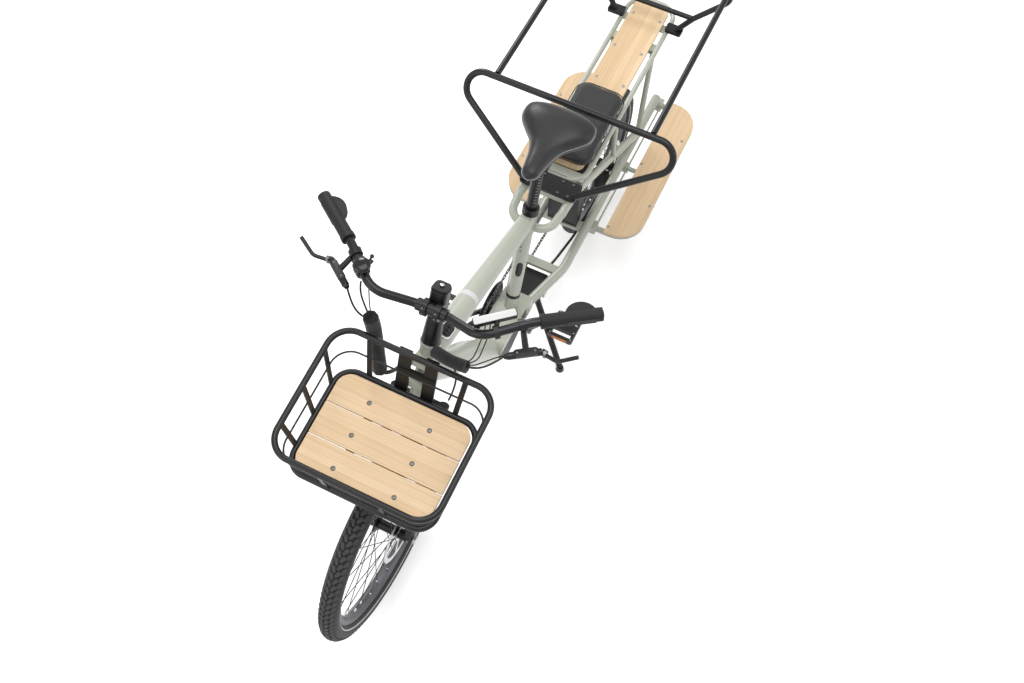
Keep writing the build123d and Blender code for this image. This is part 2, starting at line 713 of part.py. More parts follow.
def make_main_frame():
    """Head tube, main tube, down tube, seat tube, and the cradle over the motor."""
    seat_top = at(SEAT_TUBE_TOP_X, 0, SEAT_TUBE_TOP_Z)
    head = rod(steer(HEAD_LOW), steer(HEAD_HIGH), HEAD_RADIUS)
    cup_places = (HEAD_LOW, HEAD_HIGH - CUP_HEIGHT)
    cups = [rod(steer(low), steer(low + CUP_HEIGHT), CUP_RADIUS) for low in cup_places]
    seat = rod(at(BB_X, 0, BB_Z), seat_top, SEAT_TUBE_RADIUS)
    yoke = block(at(REAR_YOKE_X, -SIDE_TUBE_FRONT - SIDE_TUBE_RADIUS - 6, SIDE_TUBE_Z - SIDE_TUBE_RADIUS),
                 at(BB_X - 30, SIDE_TUBE_FRONT + SIDE_TUBE_RADIUS + 6, BB_Z + CRADLE_EDGE))
    frame = fuse([head, main_tube(), down_tube(), seat, cradle(), yoke, seat_loop(), basket_arms()] + cups)
    frame -= motor_solid(SEAT_GAP, MOTOR_HALF_WIDTH + SEAT_GAP)
    frame -= block(at(REAR_JOINT_X - 60, -90, LOOP_Z - 60), at(REAR_JOINT_X, 90, LOOP_Z + 60))
    frame -= rod(steer(HEAD_LOW - 5), steer(HEAD_HIGH + 5), STEERER_RADIUS + RUNNING_CLEARANCE)
    frame -= rod(seat_top, seat_top + seat_direction() * 60, 2 * SEAT_TUBE_RADIUS)
    down_bore = seat_top - seat_direction() * 200
    frame -= rod(down_bore, seat_top + seat_direction() * 60, SEATPOST_RADIUS + RUNNING_CLEARANCE)
    keep("main_frame", frame)


def sided(low_x, high_x, inner, outer, low_z, high_z, sign):
    """A box on one side of the bicycle, from inner to outer in width."""
    low, high = sorted((sign * inner, sign * outer))
    return block(at(low_x, low, low_z), at(high_x, high, high_z))


def stand_mount():
    """A saddle plate hung from both side tubes, and the block for the stand's pin under it."""
    pivot = at(STAND_X, 0, STAND_Z)
    plate_top = STAND_PLATE_Z + STAND_PLATE_THICKNESS
    boss = across(pivot, STAND_BOSS_RADIUS, -STAND_BOSS_HALF, STAND_BOSS_HALF)
    boss += block(at(STAND_X - STAND_BOSS_RADIUS, -STAND_BOSS_HALF, STAND_Z),
                  at(STAND_X + STAND_BOSS_RADIUS, STAND_BOSS_HALF, STAND_PLATE_Z + 1))
    rear, front = STAND_X - STAND_MOUNT_HALF, STAND_X + STAND_MOUNT_HALF
    web_out = STAND_WEB_SIDE + STAND_WEB_THICKNESS
    boss += cross_plate(rear, front, web_out, STAND_PLATE_Z, plate_top)
    for sign in (1, -1):
        boss += sided(rear, front, STAND_WEB_SIDE, web_out, STAND_PLATE_Z, SIDE_TUBE_Z - 4, sign)
    return boss


def rear_side(sign):
    """One side: side tube, dropout, strut up to the seat loop, and posts under the deck."""
    side = sign * SIDE_TUBE_SIDE
    support = rack_support_top()
    hub = REAR_HUB_LENGTH / 2 + SEAT_GAP
    yoke = at(REAR_YOKE_X + 20, sign * SIDE_TUBE_FRONT, SIDE_TUBE_Z)
    bend, end = at(SIDE_TUBE_BEND_X, side, SIDE_TUBE_Z), at(BOARD_REAR + 12, side, SIDE_TUBE_Z)
    lower = pipe([yoke, bend, end], SIDE_TUBE_RADIUS, SIDE_TUBE_BEND)
    foot = at(STRUT_FOOT_X, side, SIDE_TUBE_Z)
    inner = sign * LOOP_SIDE
    start, bend = at(REAR_JOINT_X + 10, inner, LOOP_Z), at(REAR_JOINT_X - 25, inner, LOOP_Z - 3)
    upper = pipe([start, bend, at(STRUT_KNEE_X, inner, STRUT_KNEE_Z), foot], STRUT_RADIUS, (60, 120))
    slope = (SIDE_TUBE_Z - STRUT_KNEE_Z) / (STRUT_FOOT_X - STRUT_KNEE_X)
    post_foot = at(POST_STRUT_X, side, SIDE_TUBE_Z + slope * (POST_STRUT_X - STRUT_FOOT_X))
    post = rod(post_foot, at(POST_STRUT_X, sign * (RAIL_SIDE - 4), support - 1), POST_STRUT_RADIUS)
    rear_post = rod(at(REAR_POST_X, sign * 66, support - 4), foot, POST_STRUT_RADIUS + 1)
    half = DROPOUT_LENGTH / 2
    low, high = REAR_WHEEL_RADIUS - 22, SIDE_TUBE_Z + 4
    dropout = sided(-half, half, hub, hub + DROPOUT_THICKNESS, low, high, sign)
    front, rear = RACK_FRONT_POST_X + 10, RACK_FRONT_POST_X - 10
    front_post = sided(rear, front, LOOP_SIDE - 16, LOOP_SIDE + 2, STRUT_KNEE_Z - 50, support, sign)
    return [lower, upper, post, rear_post, dropout, front_post]


def cross_plate(rear, front, half_width, low, high):
    """A flat plate from one side to the other."""
    return block(at(rear, -half_width, low), at(front, half_width, high))


def make_rear_frame():
    """Twin side tubes with dropouts, struts to the deck, and the plates that join them."""
    pieces = rear_side(1) + rear_side(-1)
    support = rack_support_top()
    half, low = RACK_SPACER_LENGTH / 2, support - RACK_PLATE
    for x in RACK_POST_PLACES:
        pieces.append(cross_plate(x - half, x + half, RAIL_SIDE + 3, low, support))
    low, high = SIDE_TUBE_Z - CROSS_PLATE_THICKNESS / 2, SIDE_TUBE_Z + CROSS_PLATE_THICKNESS / 2
    pieces.append(cross_plate(FRONT_PLATE_X - 14, FRONT_PLATE_X + 14, SIDE_TUBE_SIDE - 13, low, high))
    pieces.append(cross_plate(BATTERY_REAR, BATTERY_FRONT + 5, SIDE_TUBE_SIDE - 7, low, high))
    pieces.append(stand_mount())
    low, rear, front = STRUT_KNEE_Z - 8, HOOP_FOOT_X - 36, HOOP_FOOT_X + 6
    pieces.append(cross_plate(rear, front, LOOP_SIDE - 6, low, HOOP_SEAT_Z))
    frame = fuse(pieces)
    frame -= across(REAR_AXLE, AXLE_RADIUS + RUNNING_CLEARANCE, -120, 120)
    frame -= across(at(STAND_X, 0, STAND_Z), STAND_PIN_RADIUS + RUNNING_CLEARANCE, -60, 60)
    frame -= block(at(REAR_JOINT_X, -90, LOOP_Z - 60), at(REAR_JOINT_X + 90, 90, LOOP_Z + 60))
    frame -= block(at(REAR_YOKE_X, -90, SIDE_TUBE_Z - 60), at(REAR_YOKE_X + 90, 90, SIDE_TUBE_Z + 60))
    keep("rear_frame", frame)
    reach = REAR_HUB_LENGTH / 2 + DROPOUT_THICKNESS + 12
    keep("rear_axle", across(REAR_AXLE, AXLE_RADIUS, -reach, reach))
    cover_low = STAND_PLATE_Z + STAND_PLATE_THICKNESS + SEAT_GAP
    left = [(COVER_FRONT, COVER_FRONT_SIDE), (COVER_REAR, COVER_REAR_SIDE)]
    outline = Polyline(*left, *[(x, -y) for x, y in reversed(left)], close=True)
    plan = fillet(make_face(outline).vertices(), 10)
    cover = Pos(ROW_SHIFT, 0, cover_low) * extrude(plan, COVER_HEIGHT)
    keep("motor_cover", cover)


def rack_support_top():
    return DECK_TOP - DECK_THICKNESS - RACK_PLATE - RAIL_RADIUS


def make_rack():
    """Rail loop with cross plates under the deck board, and the cushion on it."""
    board_low = DECK_TOP - DECK_THICKNESS
    rail_z = board_low - RACK_PLATE / 2
    middle = at((RAIL_FRONT + RAIL_REAR) / 2, 0, rail_z)
    pieces = [ring_pipe(middle, RAIL_FRONT - RAIL_REAR, 2 * RAIL_SIDE, RACK_CORNER, RAIL_RADIUS)]
    half = RACK_PLATE_LENGTH / 2
    for x in RACK_POST_PLACES + (GRAB_PAD_X, 220):
        pieces.append(cross_plate(x - half, x + half, RAIL_SIDE, board_low - RACK_PLATE, board_low))
    half, low, high = RACK_SPACER_LENGTH / 2, rack_support_top(), board_low - RACK_PLATE
    for x in RACK_POST_PLACES:
        pieces.append(cross_plate(x - half, x + half, RACK_SPACER_SIDE, low, high))
    keep("rack_rails", fuse(pieces))
    plan = RectangleRounded(DECK_FRONT - DECK_REAR, DECK_WIDTH, DECK_CORNER)
    keep("deck_board", Pos(*at((DECK_FRONT + DECK_REAR) / 2, 0, board_low)) * extrude(plan, DECK_THICKNESS))
    outline = RectangleRounded(CUSHION_FRONT - CUSHION_REAR, CUSHION_WIDTH, CUSHION_CORNER)
    place = Pos(*at((CUSHION_FRONT + CUSHION_REAR) / 2, 0, DECK_TOP + SEAT_GAP))
    keep("cushion", place * extrude(outline, CUSHION_HEIGHT - SEAT_GAP))


def make_grab_bars():
    """The front hoop on its plate, and the side rails on pads on the rack."""
    plate_top = HOOP_SEAT_Z + HOOP_PLATE_THICKNESS
    foot = at(HOOP_FOOT_X, HOOP_FOOT_SIDE, plate_top)
    corner = at(GRAB_FRONT, GRAB_CORNER, GRAB_Z)
    points = [foot, corner, Vector(corner.X, -corner.Y, corner.Z), Vector(foot.X, -foot.Y, foot.Z)]
    hoop = pipe(points, GRAB_RADIUS, HOOP_BEND)
    half = HOOP_FOOT_SIDE + 12
    plate = block(at(HOOP_PLATE_REAR, -half, HOOP_SEAT_Z), at(HOOP_FOOT_X + 14, half, plate_top))
    plate = fillet(plate.edges().filter_by(Axis.Z), 10)
    low = block(at(HOOP_FOOT_X - 60, -120, HOOP_SEAT_Z - 60), at(HOOP_FOOT_X + 60, 120, HOOP_SEAT_Z))
    keep("grab_hoop", fuse([hoop, plate]) - low)
    pieces = []
    pad_low = DECK_TOP - DECK_THICKNESS - RACK_PLATE / 2 + RAIL_RADIUS + SEAT_GAP
    for sign in (1, -1):
        front = at(GRAB_FRONT - GRAB_RADIUS - SEAT_GAP, sign * GRAB_SIDE, GRAB_Z)
        rear, knee = at(GRAB_REAR, sign * GRAB_SIDE, GRAB_Z), at(GRAB_REAR, sign * GRAB_SIDE, GRAB_KNEE_Z)
        low = at(GRAB_LOW_X, sign * GRAB_LOW_SIDE, GRAB_LOW_Z)
        foot = at(GRAB_PAD_X, sign * (GRAB_PAD_OUTER - 20), pad_low + GRAB_PAD_HEIGHT - 3)
        pieces.append(pipe([front, rear, knee, low, foot], GRAB_RADIUS - 1, GRAB_BEND))
        pad_rear, pad_front = GRAB_PAD_X - GRAB_PAD_LENGTH / 2, GRAB_PAD_X + GRAB_PAD_LENGTH / 2
        pad_high = pad_low + GRAB_PAD_HEIGHT
        pad = sided(pad_rear, pad_front, RAIL_SIDE - 6, GRAB_PAD_OUTER, pad_low, pad_high, sign)
        pieces.append(fillet(pad.edges().filter_by(Axis.Z), 6))
    inside = GRAB_LOW_SIDE - 6
    pieces.append(across(at(GRAB_LOW_X, 0, GRAB_LOW_Z), GRAB_RADIUS - 2, -inside, inside))
    keep("grab_rails", fuse(pieces))


def footboard_frame():
    """The left board's bent tube, its middle support, the sockets under the side tube, and a wire."""
    z = BOARD_TOP - BOARD_THICKNESS - SEAT_GAP - BOARD_TUBE_RADIUS
    inner, outer = SIDE_TUBE_SIDE - 6, BOARD_OUTER - BOARD_TUBE_RADIUS
    ends = [BOARD_FRONT - 12, BOARD_REAR + 12]
    corners = [(ends[0], inner), (ends[0], outer), (ends[1], outer), (ends[1], inner)]
    tube = pipe([at(x, y, z) for x, y in corners], BOARD_TUBE_RADIUS, BOARD_CORNER - 12)
    middle = rod(at(BOARD_MIDDLE_X, inner + 8, z), at(BOARD_MIDDLE_X, outer, z), BOARD_TUBE_RADIUS - 2)
    wire = rod(at(ends[0], BOARD_WIRE_SIDE, z + 4), at(ends[1], BOARD_WIRE_SIDE, z + 4), BOARD_WIRE_RADIUS)
    top = SIDE_TUBE_Z - SIDE_TUBE_RADIUS - SEAT_GAP
    sockets = []
    half = BOARD_SOCKET_LENGTH / 2
    for x, half, side in ((ends[0], half, 14), (ends[1], half, 14), (BOARD_MIDDLE_X, 11, 2)):
        low = at(x - half, SIDE_TUBE_SIDE - side, z - BOARD_TUBE_RADIUS - 2)
        sockets.append(block(low, at(x + half, BOARD_WIRE_SIDE + 5, top)))
    return fuse([tube, middle, wire] + sockets)


def make_footboards():
    """Boards beside the side tubes, each on a bent tube with a middle support."""
    middle_x, middle_y = (BOARD_FRONT + BOARD_REAR) / 2, (BOARD_INNER + BOARD_OUTER) / 2
    plan = Pos(middle_x, middle_y) * Rectangle(BOARD_FRONT - BOARD_REAR, BOARD_OUTER - BOARD_INNER)
    outer_corners = plan.vertices().sort_by(Axis.Y)[-2:]
    plan = fillet(outer_corners, BOARD_CORNER)
    board = Pos(ROW_SHIFT, 0, BOARD_TOP - BOARD_THICKNESS) * extrude(plan, BOARD_THICKNESS)
    frame = footboard_frame()
    keep("footboards", board, mirrored(board))
    keep("footboard_frames", frame, mirrored(frame))


# ---------------------------------------------------------------- seat
def make_seat():
    up = seat_direction()
    top = at(SEAT_TUBE_TOP_X, 0, SEAT_TUBE_TOP_Z)
    collar = rod(top + up * SEAT_GAP, top + up * COLLAR_HEIGHT, SEAT_TUBE_RADIUS + COLLAR_WALL)
    collar -= rod(top - up * 5, top + up * (COLLAR_HEIGHT + 5), SEATPOST_RADIUS + RUNNING_CLEARANCE)
    keep("seat_collar", collar)
    rail_z = SADDLE_TOP - SADDLE_DEPTH - SADDLE_CLAMP_DROP
    head = top + up * ((rail_z - SEAT_TUBE_TOP_Z) / up.Z)
    post = rod(top - up * 180, head, SEATPOST_RADIUS)
    clamp = block(head + Vector(-24, -30, -10), head + Vector(24, 30, 8))
    rails = []
    low = SADDLE_TOP - SADDLE_DEPTH - SADDLE_RAIL_RADIUS - SEAT_GAP
    for side in (SADDLE_RAIL_SIDE, -SADDLE_RAIL_SIDE):
        rear, front = at(SADDLE_REAR + 60, side, low), at(SADDLE_NOSE - 50, side, low)
        rails.append(rod(rear, front, SADDLE_RAIL_RADIUS))
    keep("seatpost", fuse([post, clamp] + rails))
    wing, tip = SADDLE_WIDTH / 2 - SADDLE_WING_RADIUS, SADDLE_NOSE - SADDLE_NOSE_RADIUS
    waist = (SADDLE_REAR + SADDLE_NOSE) / 2
    rear_x = SADDLE_REAR + SADDLE_WING_RADIUS
    middle = (waist, 0, SADDLE_WAIST_RADIUS)
    seat_plan = hull_of([(rear_x, side, SADDLE_WING_RADIUS) for side in (wing, -wing)] + [middle])
    nose_plan = hull_of([middle, (tip, 0, SADDLE_NOSE_RADIUS)])
    place = Pos(ROW_SHIFT, 0, SADDLE_TOP - SADDLE_DEPTH)
    keep("saddle", place * fuse([extrude(seat_plan, SADDLE_DEPTH), extrude(nose_plan, SADDLE_DEPTH - 12)]))


# ---------------------------------------------------------------- basket
def basket_place():
    return Pos(*steer(BASKET_UP, BASKET_AHEAD)) * Rot(0, BASKET_TILT, 0)


def basket_back_plane():
    """The flat behind both rings, before the basket's tilt, its normal towards the head tube."""
    top = Vector(-BASKET_LENGTH / 2, 0, 0)
    low = Vector(BASKET_LENGTH / 2 - BASKET_FLOOR_LENGTH, 0, -BASKET_HEIGHT)
    up = (top - low).normalized()
    back = Vector(-up.Z, 0, up.X)
    return Plane(origin=(top + low) / 2 + back * BASKET_TUBE_RADIUS, x_dir=up, z_dir=back)


def slat(start, end, across_way):
    """A flat upright of the basket between two rings, its width along across_way."""
    plane = Plane(origin=start, x_dir=across_way, z_dir=end - start)
    foot = (Align.CENTER, Align.CENTER, Align.MIN)
    return plane * Box(BASKET_SLAT_WIDTH, BASKET_SLAT_THICKNESS, (end - start).length, align=foot)


def make_basket():
    """Two tube rings joined by slats, on supports that carry three floor boards."""
    floor_x = (BASKET_LENGTH - BASKET_FLOOR_LENGTH) / 2
    top = ring_pipe((0, 0, 0), BASKET_LENGTH, BASKET_WIDTH, BASKET_CORNER, BASKET_TUBE_RADIUS)
    low_size = (BASKET_FLOOR_LENGTH, BASKET_FLOOR_WIDTH, BASKET_FLOOR_CORNER)
    low = ring_pipe((floor_x, 0, -BASKET_HEIGHT), *low_size, BASKET_TUBE_RADIUS)
    half_way = [(a + b) / 2 for a, b in zip(low_size, (BASKET_LENGTH, BASKET_WIDTH, BASKET_CORNER))]
    wire = ring_pipe((floor_x / 2, 0, -BASKET_HEIGHT / 2), *half_way, BASKET_WIRE_RADIUS)
    pieces = [top, low, wire]
    for sign in (1, -1):
        for share in (-0.3, 0, 0.3):
            start = Vector(share * BASKET_LENGTH, sign * BASKET_WIDTH / 2, 0)
            low_x = floor_x + share * BASKET_FLOOR_LENGTH
            end = Vector(low_x, sign * BASKET_FLOOR_WIDTH / 2, -BASKET_HEIGHT)
            pieces.append(slat(start, end, (1, 0, 0)))
        for end_sign, high_side, low_side in ((1, 80, 76), (-1, 130, 118)):
            start = Vector(end_sign * BASKET_LENGTH / 2, sign * high_side, 0)
            end = Vector(floor_x + end_sign * BASKET_FLOOR_LENGTH / 2, sign * low_side, -BASKET_HEIGHT)
            pieces.append(slat(start, end, (0, 1, 0)))
        bearer = Box(BASKET_FLOOR_LENGTH, BASKET_BEARER_WIDTH, BASKET_BAR_THICKNESS)
        pieces.append(Pos(floor_x, sign * BASKET_BEARER_SIDE, -BASKET_HEIGHT) * bearer)
    frame = basket_place() * fuse(pieces)
    inset = 2 * (BASKET_TUBE_RADIUS + BASKET_BOARD_GAP)
    length, width = BASKET_FLOOR_LENGTH - inset, BASKET_FLOOR_WIDTH - inset
    plan = RectangleRounded(length, width, BASKET_FLOOR_CORNER - inset / 2)
    for seam in (-length / 6, length / 6):
        plan -= Pos(seam, 0) * Rectangle(BASKET_BOARD_GAP, width + 1)
    board_low = -BASKET_HEIGHT + BASKET_BAR_THICKNESS / 2
    floor = Pos(floor_x, 0, board_low) * extrude(plan, BASKET_BOARD_THICKNESS)
    keep("basket_boards", basket_place() * floor)
    plane = basket_back_plane()
    height = BASKET_HEIGHT + 24
    post = extrude(Rectangle(height, POST_WIDTH), POST_THICKNESS)
    plates = [plane * Pos(0, side) * post for side in (POST_SIDE, -POST_SIDE)]
    plates.append(plane * extrude(Rectangle(26, 2 * POST_SIDE), POST_THICKNESS))
    keep("basket_posts", basket_place() * fuse(plates))
    keep("basket_frame", frame)


# ---------------------------------------------------------------- drive
def crank_tip(sign):
    turn = radians(CRANK_ANGLE if sign > 0 else CRANK_ANGLE + 180)
    return Vector(CRANK_LENGTH * cos(turn), 0, CRANK_LENGTH * sin(turn))


def pedal(tip, low, high):
    """A platform pedal: a central barrel and an open cage round it, not yet bored."""
    reach = Vector(PEDAL_LENGTH / 2, 0, PEDAL_HEIGHT / 2)
    body = block(tip - reach + Vector(0, low, 0), tip + reach + Vector(0, high, 0))
    body = fillet(body.edges().filter_by(Axis.Z), 8)
    wall = PEDAL_CAGE_WALL
    for way in (1, -1):
        near, far = sorted((way * PEDAL_BARREL_HALF, way * (PEDAL_LENGTH / 2 - wall)))
        low_corner = Vector(near, low + wall, -PEDAL_HEIGHT)
        body -= block(tip + low_corner, tip + Vector(far, high - wall, PEDAL_HEIGHT))
    return body


def chainring(radius):
    """A flat ring on arms from a middle plate."""
    plan = Circle(radius) - Circle(radius - CHAINRING_RIM) + Circle(2.5 * SPINDLE_RADIUS)
    reach = radius - CHAINRING_RIM / 2
    for turn in PolarLocations(0, CHAINRING_ARMS):
        plan += turn * Pos(reach / 2, 0) * Rectangle(reach, 16)
    plane = side_plane(-CHAIN_SIDE)
    return plane * extrude(plan, CHAINRING_THICKNESS / 2, both=True)


def make_cranks():
    """Spindle, crank arms, chainring and pedal axles as one piece, and the two pedals."""
    centre = at(BB_X, 0, BB_Z)
    pieces = [across(centre, SPINDLE_RADIUS, -CRANK_SIDE - 8, CRANK_SIDE + 8)]
    half = CRANK_THICKNESS / 2
    for sign in (1, -1):
        tip = centre + crank_tip(sign)
        root, end = sign * CRANK_SIDE, sign * (CRANK_SIDE + CRANK_FLARE)
        pieces.append(across(centre, CRANK_BOSS_RADIUS, root - half, root + half))
        pieces.append(rod(centre + Vector(0, root, 0), tip + Vector(0, end, 0), 9, 7.5))
        pieces.append(across(tip, CRANK_TIP_RADIUS, end - half, end + half))
        inner = end + sign * (half + PEDAL_STANDOFF)
        outer = inner + sign * PEDAL_WIDTH
        pieces.append(across(tip, PEDAL_AXLE_RADIUS, *sorted((end, outer - sign * 8))))
        body = pedal(tip, *sorted((inner, outer)))
        body -= across(tip, PEDAL_AXLE_RADIUS + RUNNING_CLEARANCE, *sorted((end, outer - sign * 7.7)))
        keep("pedal_left" if sign > 0 else "pedal_right", body)
    radius = CHAINRING_RADIUS - CHAIN_HEIGHT / 2 - SEAT_GAP
    keep("crankset", fuse(pieces + [chainring(radius)]))
    guard_side = -CHAIN_SIDE - CHAIN_WIDTH / 2 - GUARD_GAP
    guard = across(centre, GUARD_RADIUS, guard_side - GUARD_THICKNESS, guard_side)
    guard = fillet(guard.edges().filter_by(GeomType.CIRCLE).sort_by(Axis.Y)[0], 2)
    guard -= across(centre, CRANK_BOSS_RADIUS + SEAT_GAP, guard_side - 20, guard_side + 20)
    keep("chain_guard", guard)


def make_drive():
    """Motor, cranks, chain, derailleur and battery."""
    spindle = across(at(BB_X, 0, BB_Z), SPINDLE_RADIUS + RUNNING_CLEARANCE, -100, 100)
    keep("motor", motor_solid(0, MOTOR_HALF_WIDTH) - spindle)
    make_cranks()
    keep("chain", chain_loop())
    keep("derailleur", derailleur())
    low = SIDE_TUBE_Z + CROSS_PLATE_THICKNESS / 2 + SEAT_GAP
    outline = [(BATTERY_FRONT, low), (BATTERY_REAR, low), (BATTERY_TOP_REAR, BATTERY_SHOULDER_Z),
               (BATTERY_TOP_REAR, BATTERY_TOP), (BATTERY_FRONT, BATTERY_TOP)]
    face = make_face(Polyline(*outline, close=True))
    plane = Plane(origin=(ROW_SHIFT, BATTERY_HALF_WIDTH, 0), x_dir=(1, 0, 0), z_dir=(0, -1, 0))
    keep("battery", plane * extrude(face, 2 * BATTERY_HALF_WIDTH))


def tangent_points(first, second):
    """Where a belt leaves the first wheel and meets the second. Each is (x, z, radius, turn)."""
    x1, z1, r1, turn1 = first
    x2, z2, r2, turn2 = second
    gap_x, gap_z = x2 - x1, z2 - z1
    span = sqrt(gap_x**2 + gap_z**2)
    lean = asin((turn1 * r1 - turn2 * r2) / span)
    along = atan2(gap_z, gap_x) + lean
    nx, nz = sin(along), -cos(along)
    return (x1 + turn1 * r1 * nx, z1 + turn1 * r1 * nz), (x2 + turn2 * r2 * nx, z2 + turn2 * r2 * nz)


def chain_loop():
    """A band round the chainring, sprocket and both jockey wheels, in their order."""
    wheels = [(BB_X, BB_Z, CHAINRING_RADIUS, -1), (TENSION_X, TENSION_Z, JOCKEY_RADIUS, -1),
              (GUIDE_X, GUIDE_Z, JOCKEY_RADIUS, 1), (0, REAR_WHEEL_RADIUS, SPROCKET_RADIUS, -1)]
    spans = [tangent_points(wheels[i], wheels[(i + 1) % 4]) for i in range(4)]
    edges = []
    for i in range(4):
        arrive, leave = spans[i - 1][1], spans[i][0]
        x, z, radius, turn = wheels[i]
        start = atan2(arrive[1] - z, arrive[0] - x)
        wrap = turn * (atan2(leave[1] - z, leave[0] - x) - start) % (2 * pi)
        middle = start + turn * wrap / 2
        through = (x + radius * cos(middle), z + radius * sin(middle))
        edges.append(ThreePointArc(arrive, through, leave))
        edges.append(Line(leave, spans[i][1]))
    plane = Plane(origin=(ROW_SHIFT, -CHAIN_SIDE, 0), x_dir=(1, 0, 0), z_dir=(0, -1, 0))
    path = plane * Wire(edges)
    section = Plane(origin=path @ 0, x_dir=(0, 1, 0), z_dir=path % 0) * Rectangle(CHAIN_WIDTH, CHAIN_HEIGHT)
    return sweep(section, path=path)


def derailleur():
    """A hanger, body and cage that carry two small wheels inside the chain."""
    guide, tension = at(GUIDE_X, 0, GUIDE_Z), at(TENSION_X, 0, TENSION_Z)
    small = JOCKEY_RADIUS - CHAIN_HEIGHT / 2 - SEAT_GAP
    pieces = []
    for middle in (guide, tension):
        pieces.append(across(middle, small, -CHAIN_SIDE - 1.5, -CHAIN_SIDE + 1.5))
        pieces.append(across(middle, 4, -CHAIN_SIDE - 8, -CHAIN_SIDE + 8))
    span, half_way = guide - tension, (guide + tension) / 2
    for side in (-CHAIN_SIDE - 8, -CHAIN_SIDE + 5.5):
        plane = Plane(origin=half_way + Vector(0, side, 0), x_dir=span.normalized(), z_dir=(0, 1, 0))
        pieces.append(plane * extrude(SlotCenterToCenter(span.length, 16), 2.5))
    pieces.append(across(guide, DERAILLEUR_BODY_RADIUS, -CHAIN_SIDE - 22, -CHAIN_SIDE - 6))
    hanger = at(GUIDE_X + 14, -REAR_HUB_LENGTH / 2 - 14, REAR_WHEEL_RADIUS - 34)
    pieces.append(rod(guide + Vector(0, -CHAIN_SIDE - 16, 0), hanger, DERAILLEUR_BODY_RADIUS))
    return fuse(pieces)


def brake_calipers():
    """A slotted block over each disc: one behind the left fork leg, one beside the left side tube."""
    inner, slot = DISC_SIDE - 6, 1.5
    plane = Plane(origin=steer(85, 10), x_dir=STEER_AHEAD, z_dir=STEER_UP)
    length, outer = 58, FORK_SIDE - 6
    front = plane * Pos(0, (inner + outer) / 2, 0) * Box(34, outer - inner, length)
    front += plane * Pos(20, outer - 6, 0) * Box(30, 12, length - 10)
    front -= fork_lower(FORK_SIDE, SEAT_GAP)
    outer = SIDE_TUBE_SIDE - SIDE_TUBE_RADIUS - SEAT_GAP
    rear = block(at(56, inner, SIDE_TUBE_Z - 16), at(108, outer, SIDE_TUBE_Z + 18))
    for name, axle, caliper in (("front_caliper", FRONT_AXLE, front), ("rear_caliper", REAR_AXLE, rear)):
        space = across(axle, DISC_RADIUS + 3, DISC_SIDE - slot, DISC_SIDE + DISC_THICKNESS + slot)
        keep(name, caliper - space)


def make_stand():
    """Two splayed legs with feet, on a pin that turns in the boss under the frame."""
    pivot = at(STAND_X, 0, STAND_Z)
    inner, outer = STAND_BOSS_HALF + SEAT_GAP, STAND_BOSS_HALF + SEAT_GAP + STAND_HUB_WIDTH
    pieces = [across(pivot, STAND_PIN_RADIUS, -outer, outer)]
    for sign in (1, -1):
        pieces.append(across(pivot, STAND_HUB_RADIUS, *sorted((sign * inner, sign * outer))))
        foot = at(STAND_FOOT_X, sign * STAND_FOOT_SIDE, STAND_FOOT_HEIGHT)
        leg = rod(pivot + Vector(0, sign * (outer - STAND_TUBE_RADIUS), 0), foot, STAND_TUBE_RADIUS)
        pieces.append(leg - across(pivot, 3 * STAND_HUB_RADIUS, -inner, inner))
        floor, ankle = foot - Vector(0, 0, STAND_FOOT_HEIGHT), foot + Vector(0, 0, 5)
        pieces.append(rod(floor, ankle, STAND_FOOT_RADIUS, STAND_FOOT_RADIUS - 3))
    keep("stand", fuse(pieces))


make_wheels()
make_fork()
make_stem()
make_cockpit()
make_main_frame()
make_rear_frame()
make_rack()
make_grab_bars()
make_footboards()
make_seat()
make_basket()
make_drive()
make_stand()
brake_calipers()

for name, shape in PARTS.items():
    export_step(shape, f"parts/{name}.step")
print(len(PARTS), "parts")
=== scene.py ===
# %% [markdown]
# # A longtail cargo bicycle
#
# The bicycle arrives as a frame of solids, with every joint already in place. This lesson dresses
# it: it lights a pale studio, gives each kind of surface a finish worked out from formulas, and
# puts finer pieces over the plain solids where hands, feet and eyes come close.

import json

import bmesh
import bpy
import numpy as np
from mathutils import Matrix, Vector


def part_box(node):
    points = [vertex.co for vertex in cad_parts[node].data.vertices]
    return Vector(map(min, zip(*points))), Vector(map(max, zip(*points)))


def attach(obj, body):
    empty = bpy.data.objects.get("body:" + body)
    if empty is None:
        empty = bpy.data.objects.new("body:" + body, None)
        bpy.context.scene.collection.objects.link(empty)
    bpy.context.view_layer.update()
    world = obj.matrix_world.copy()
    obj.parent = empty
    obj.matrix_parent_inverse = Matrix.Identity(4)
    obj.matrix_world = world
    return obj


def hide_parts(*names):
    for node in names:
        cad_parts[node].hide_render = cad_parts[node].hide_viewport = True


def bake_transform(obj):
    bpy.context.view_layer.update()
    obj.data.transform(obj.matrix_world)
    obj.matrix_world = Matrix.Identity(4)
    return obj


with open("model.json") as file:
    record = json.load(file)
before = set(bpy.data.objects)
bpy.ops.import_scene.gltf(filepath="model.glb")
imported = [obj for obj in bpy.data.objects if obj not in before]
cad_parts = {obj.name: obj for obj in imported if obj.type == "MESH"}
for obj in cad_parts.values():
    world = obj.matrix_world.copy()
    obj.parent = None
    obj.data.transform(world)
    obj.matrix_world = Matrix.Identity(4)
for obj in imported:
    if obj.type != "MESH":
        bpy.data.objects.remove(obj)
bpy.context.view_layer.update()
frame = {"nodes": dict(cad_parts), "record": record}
NODES = frame["nodes"]

# %% [markdown]
# ## The studio
#
# A bicycle is shown on a white floor that runs up into a white wall. The floor could be lit
# until it glows, but then the light would bleach the paint as well. Here the floor answers the
# camera with plain white light of its own, mixed with what falls on it, so it keeps the soft
# shadow while the lamps stay at a level where each colour looks as it is written.

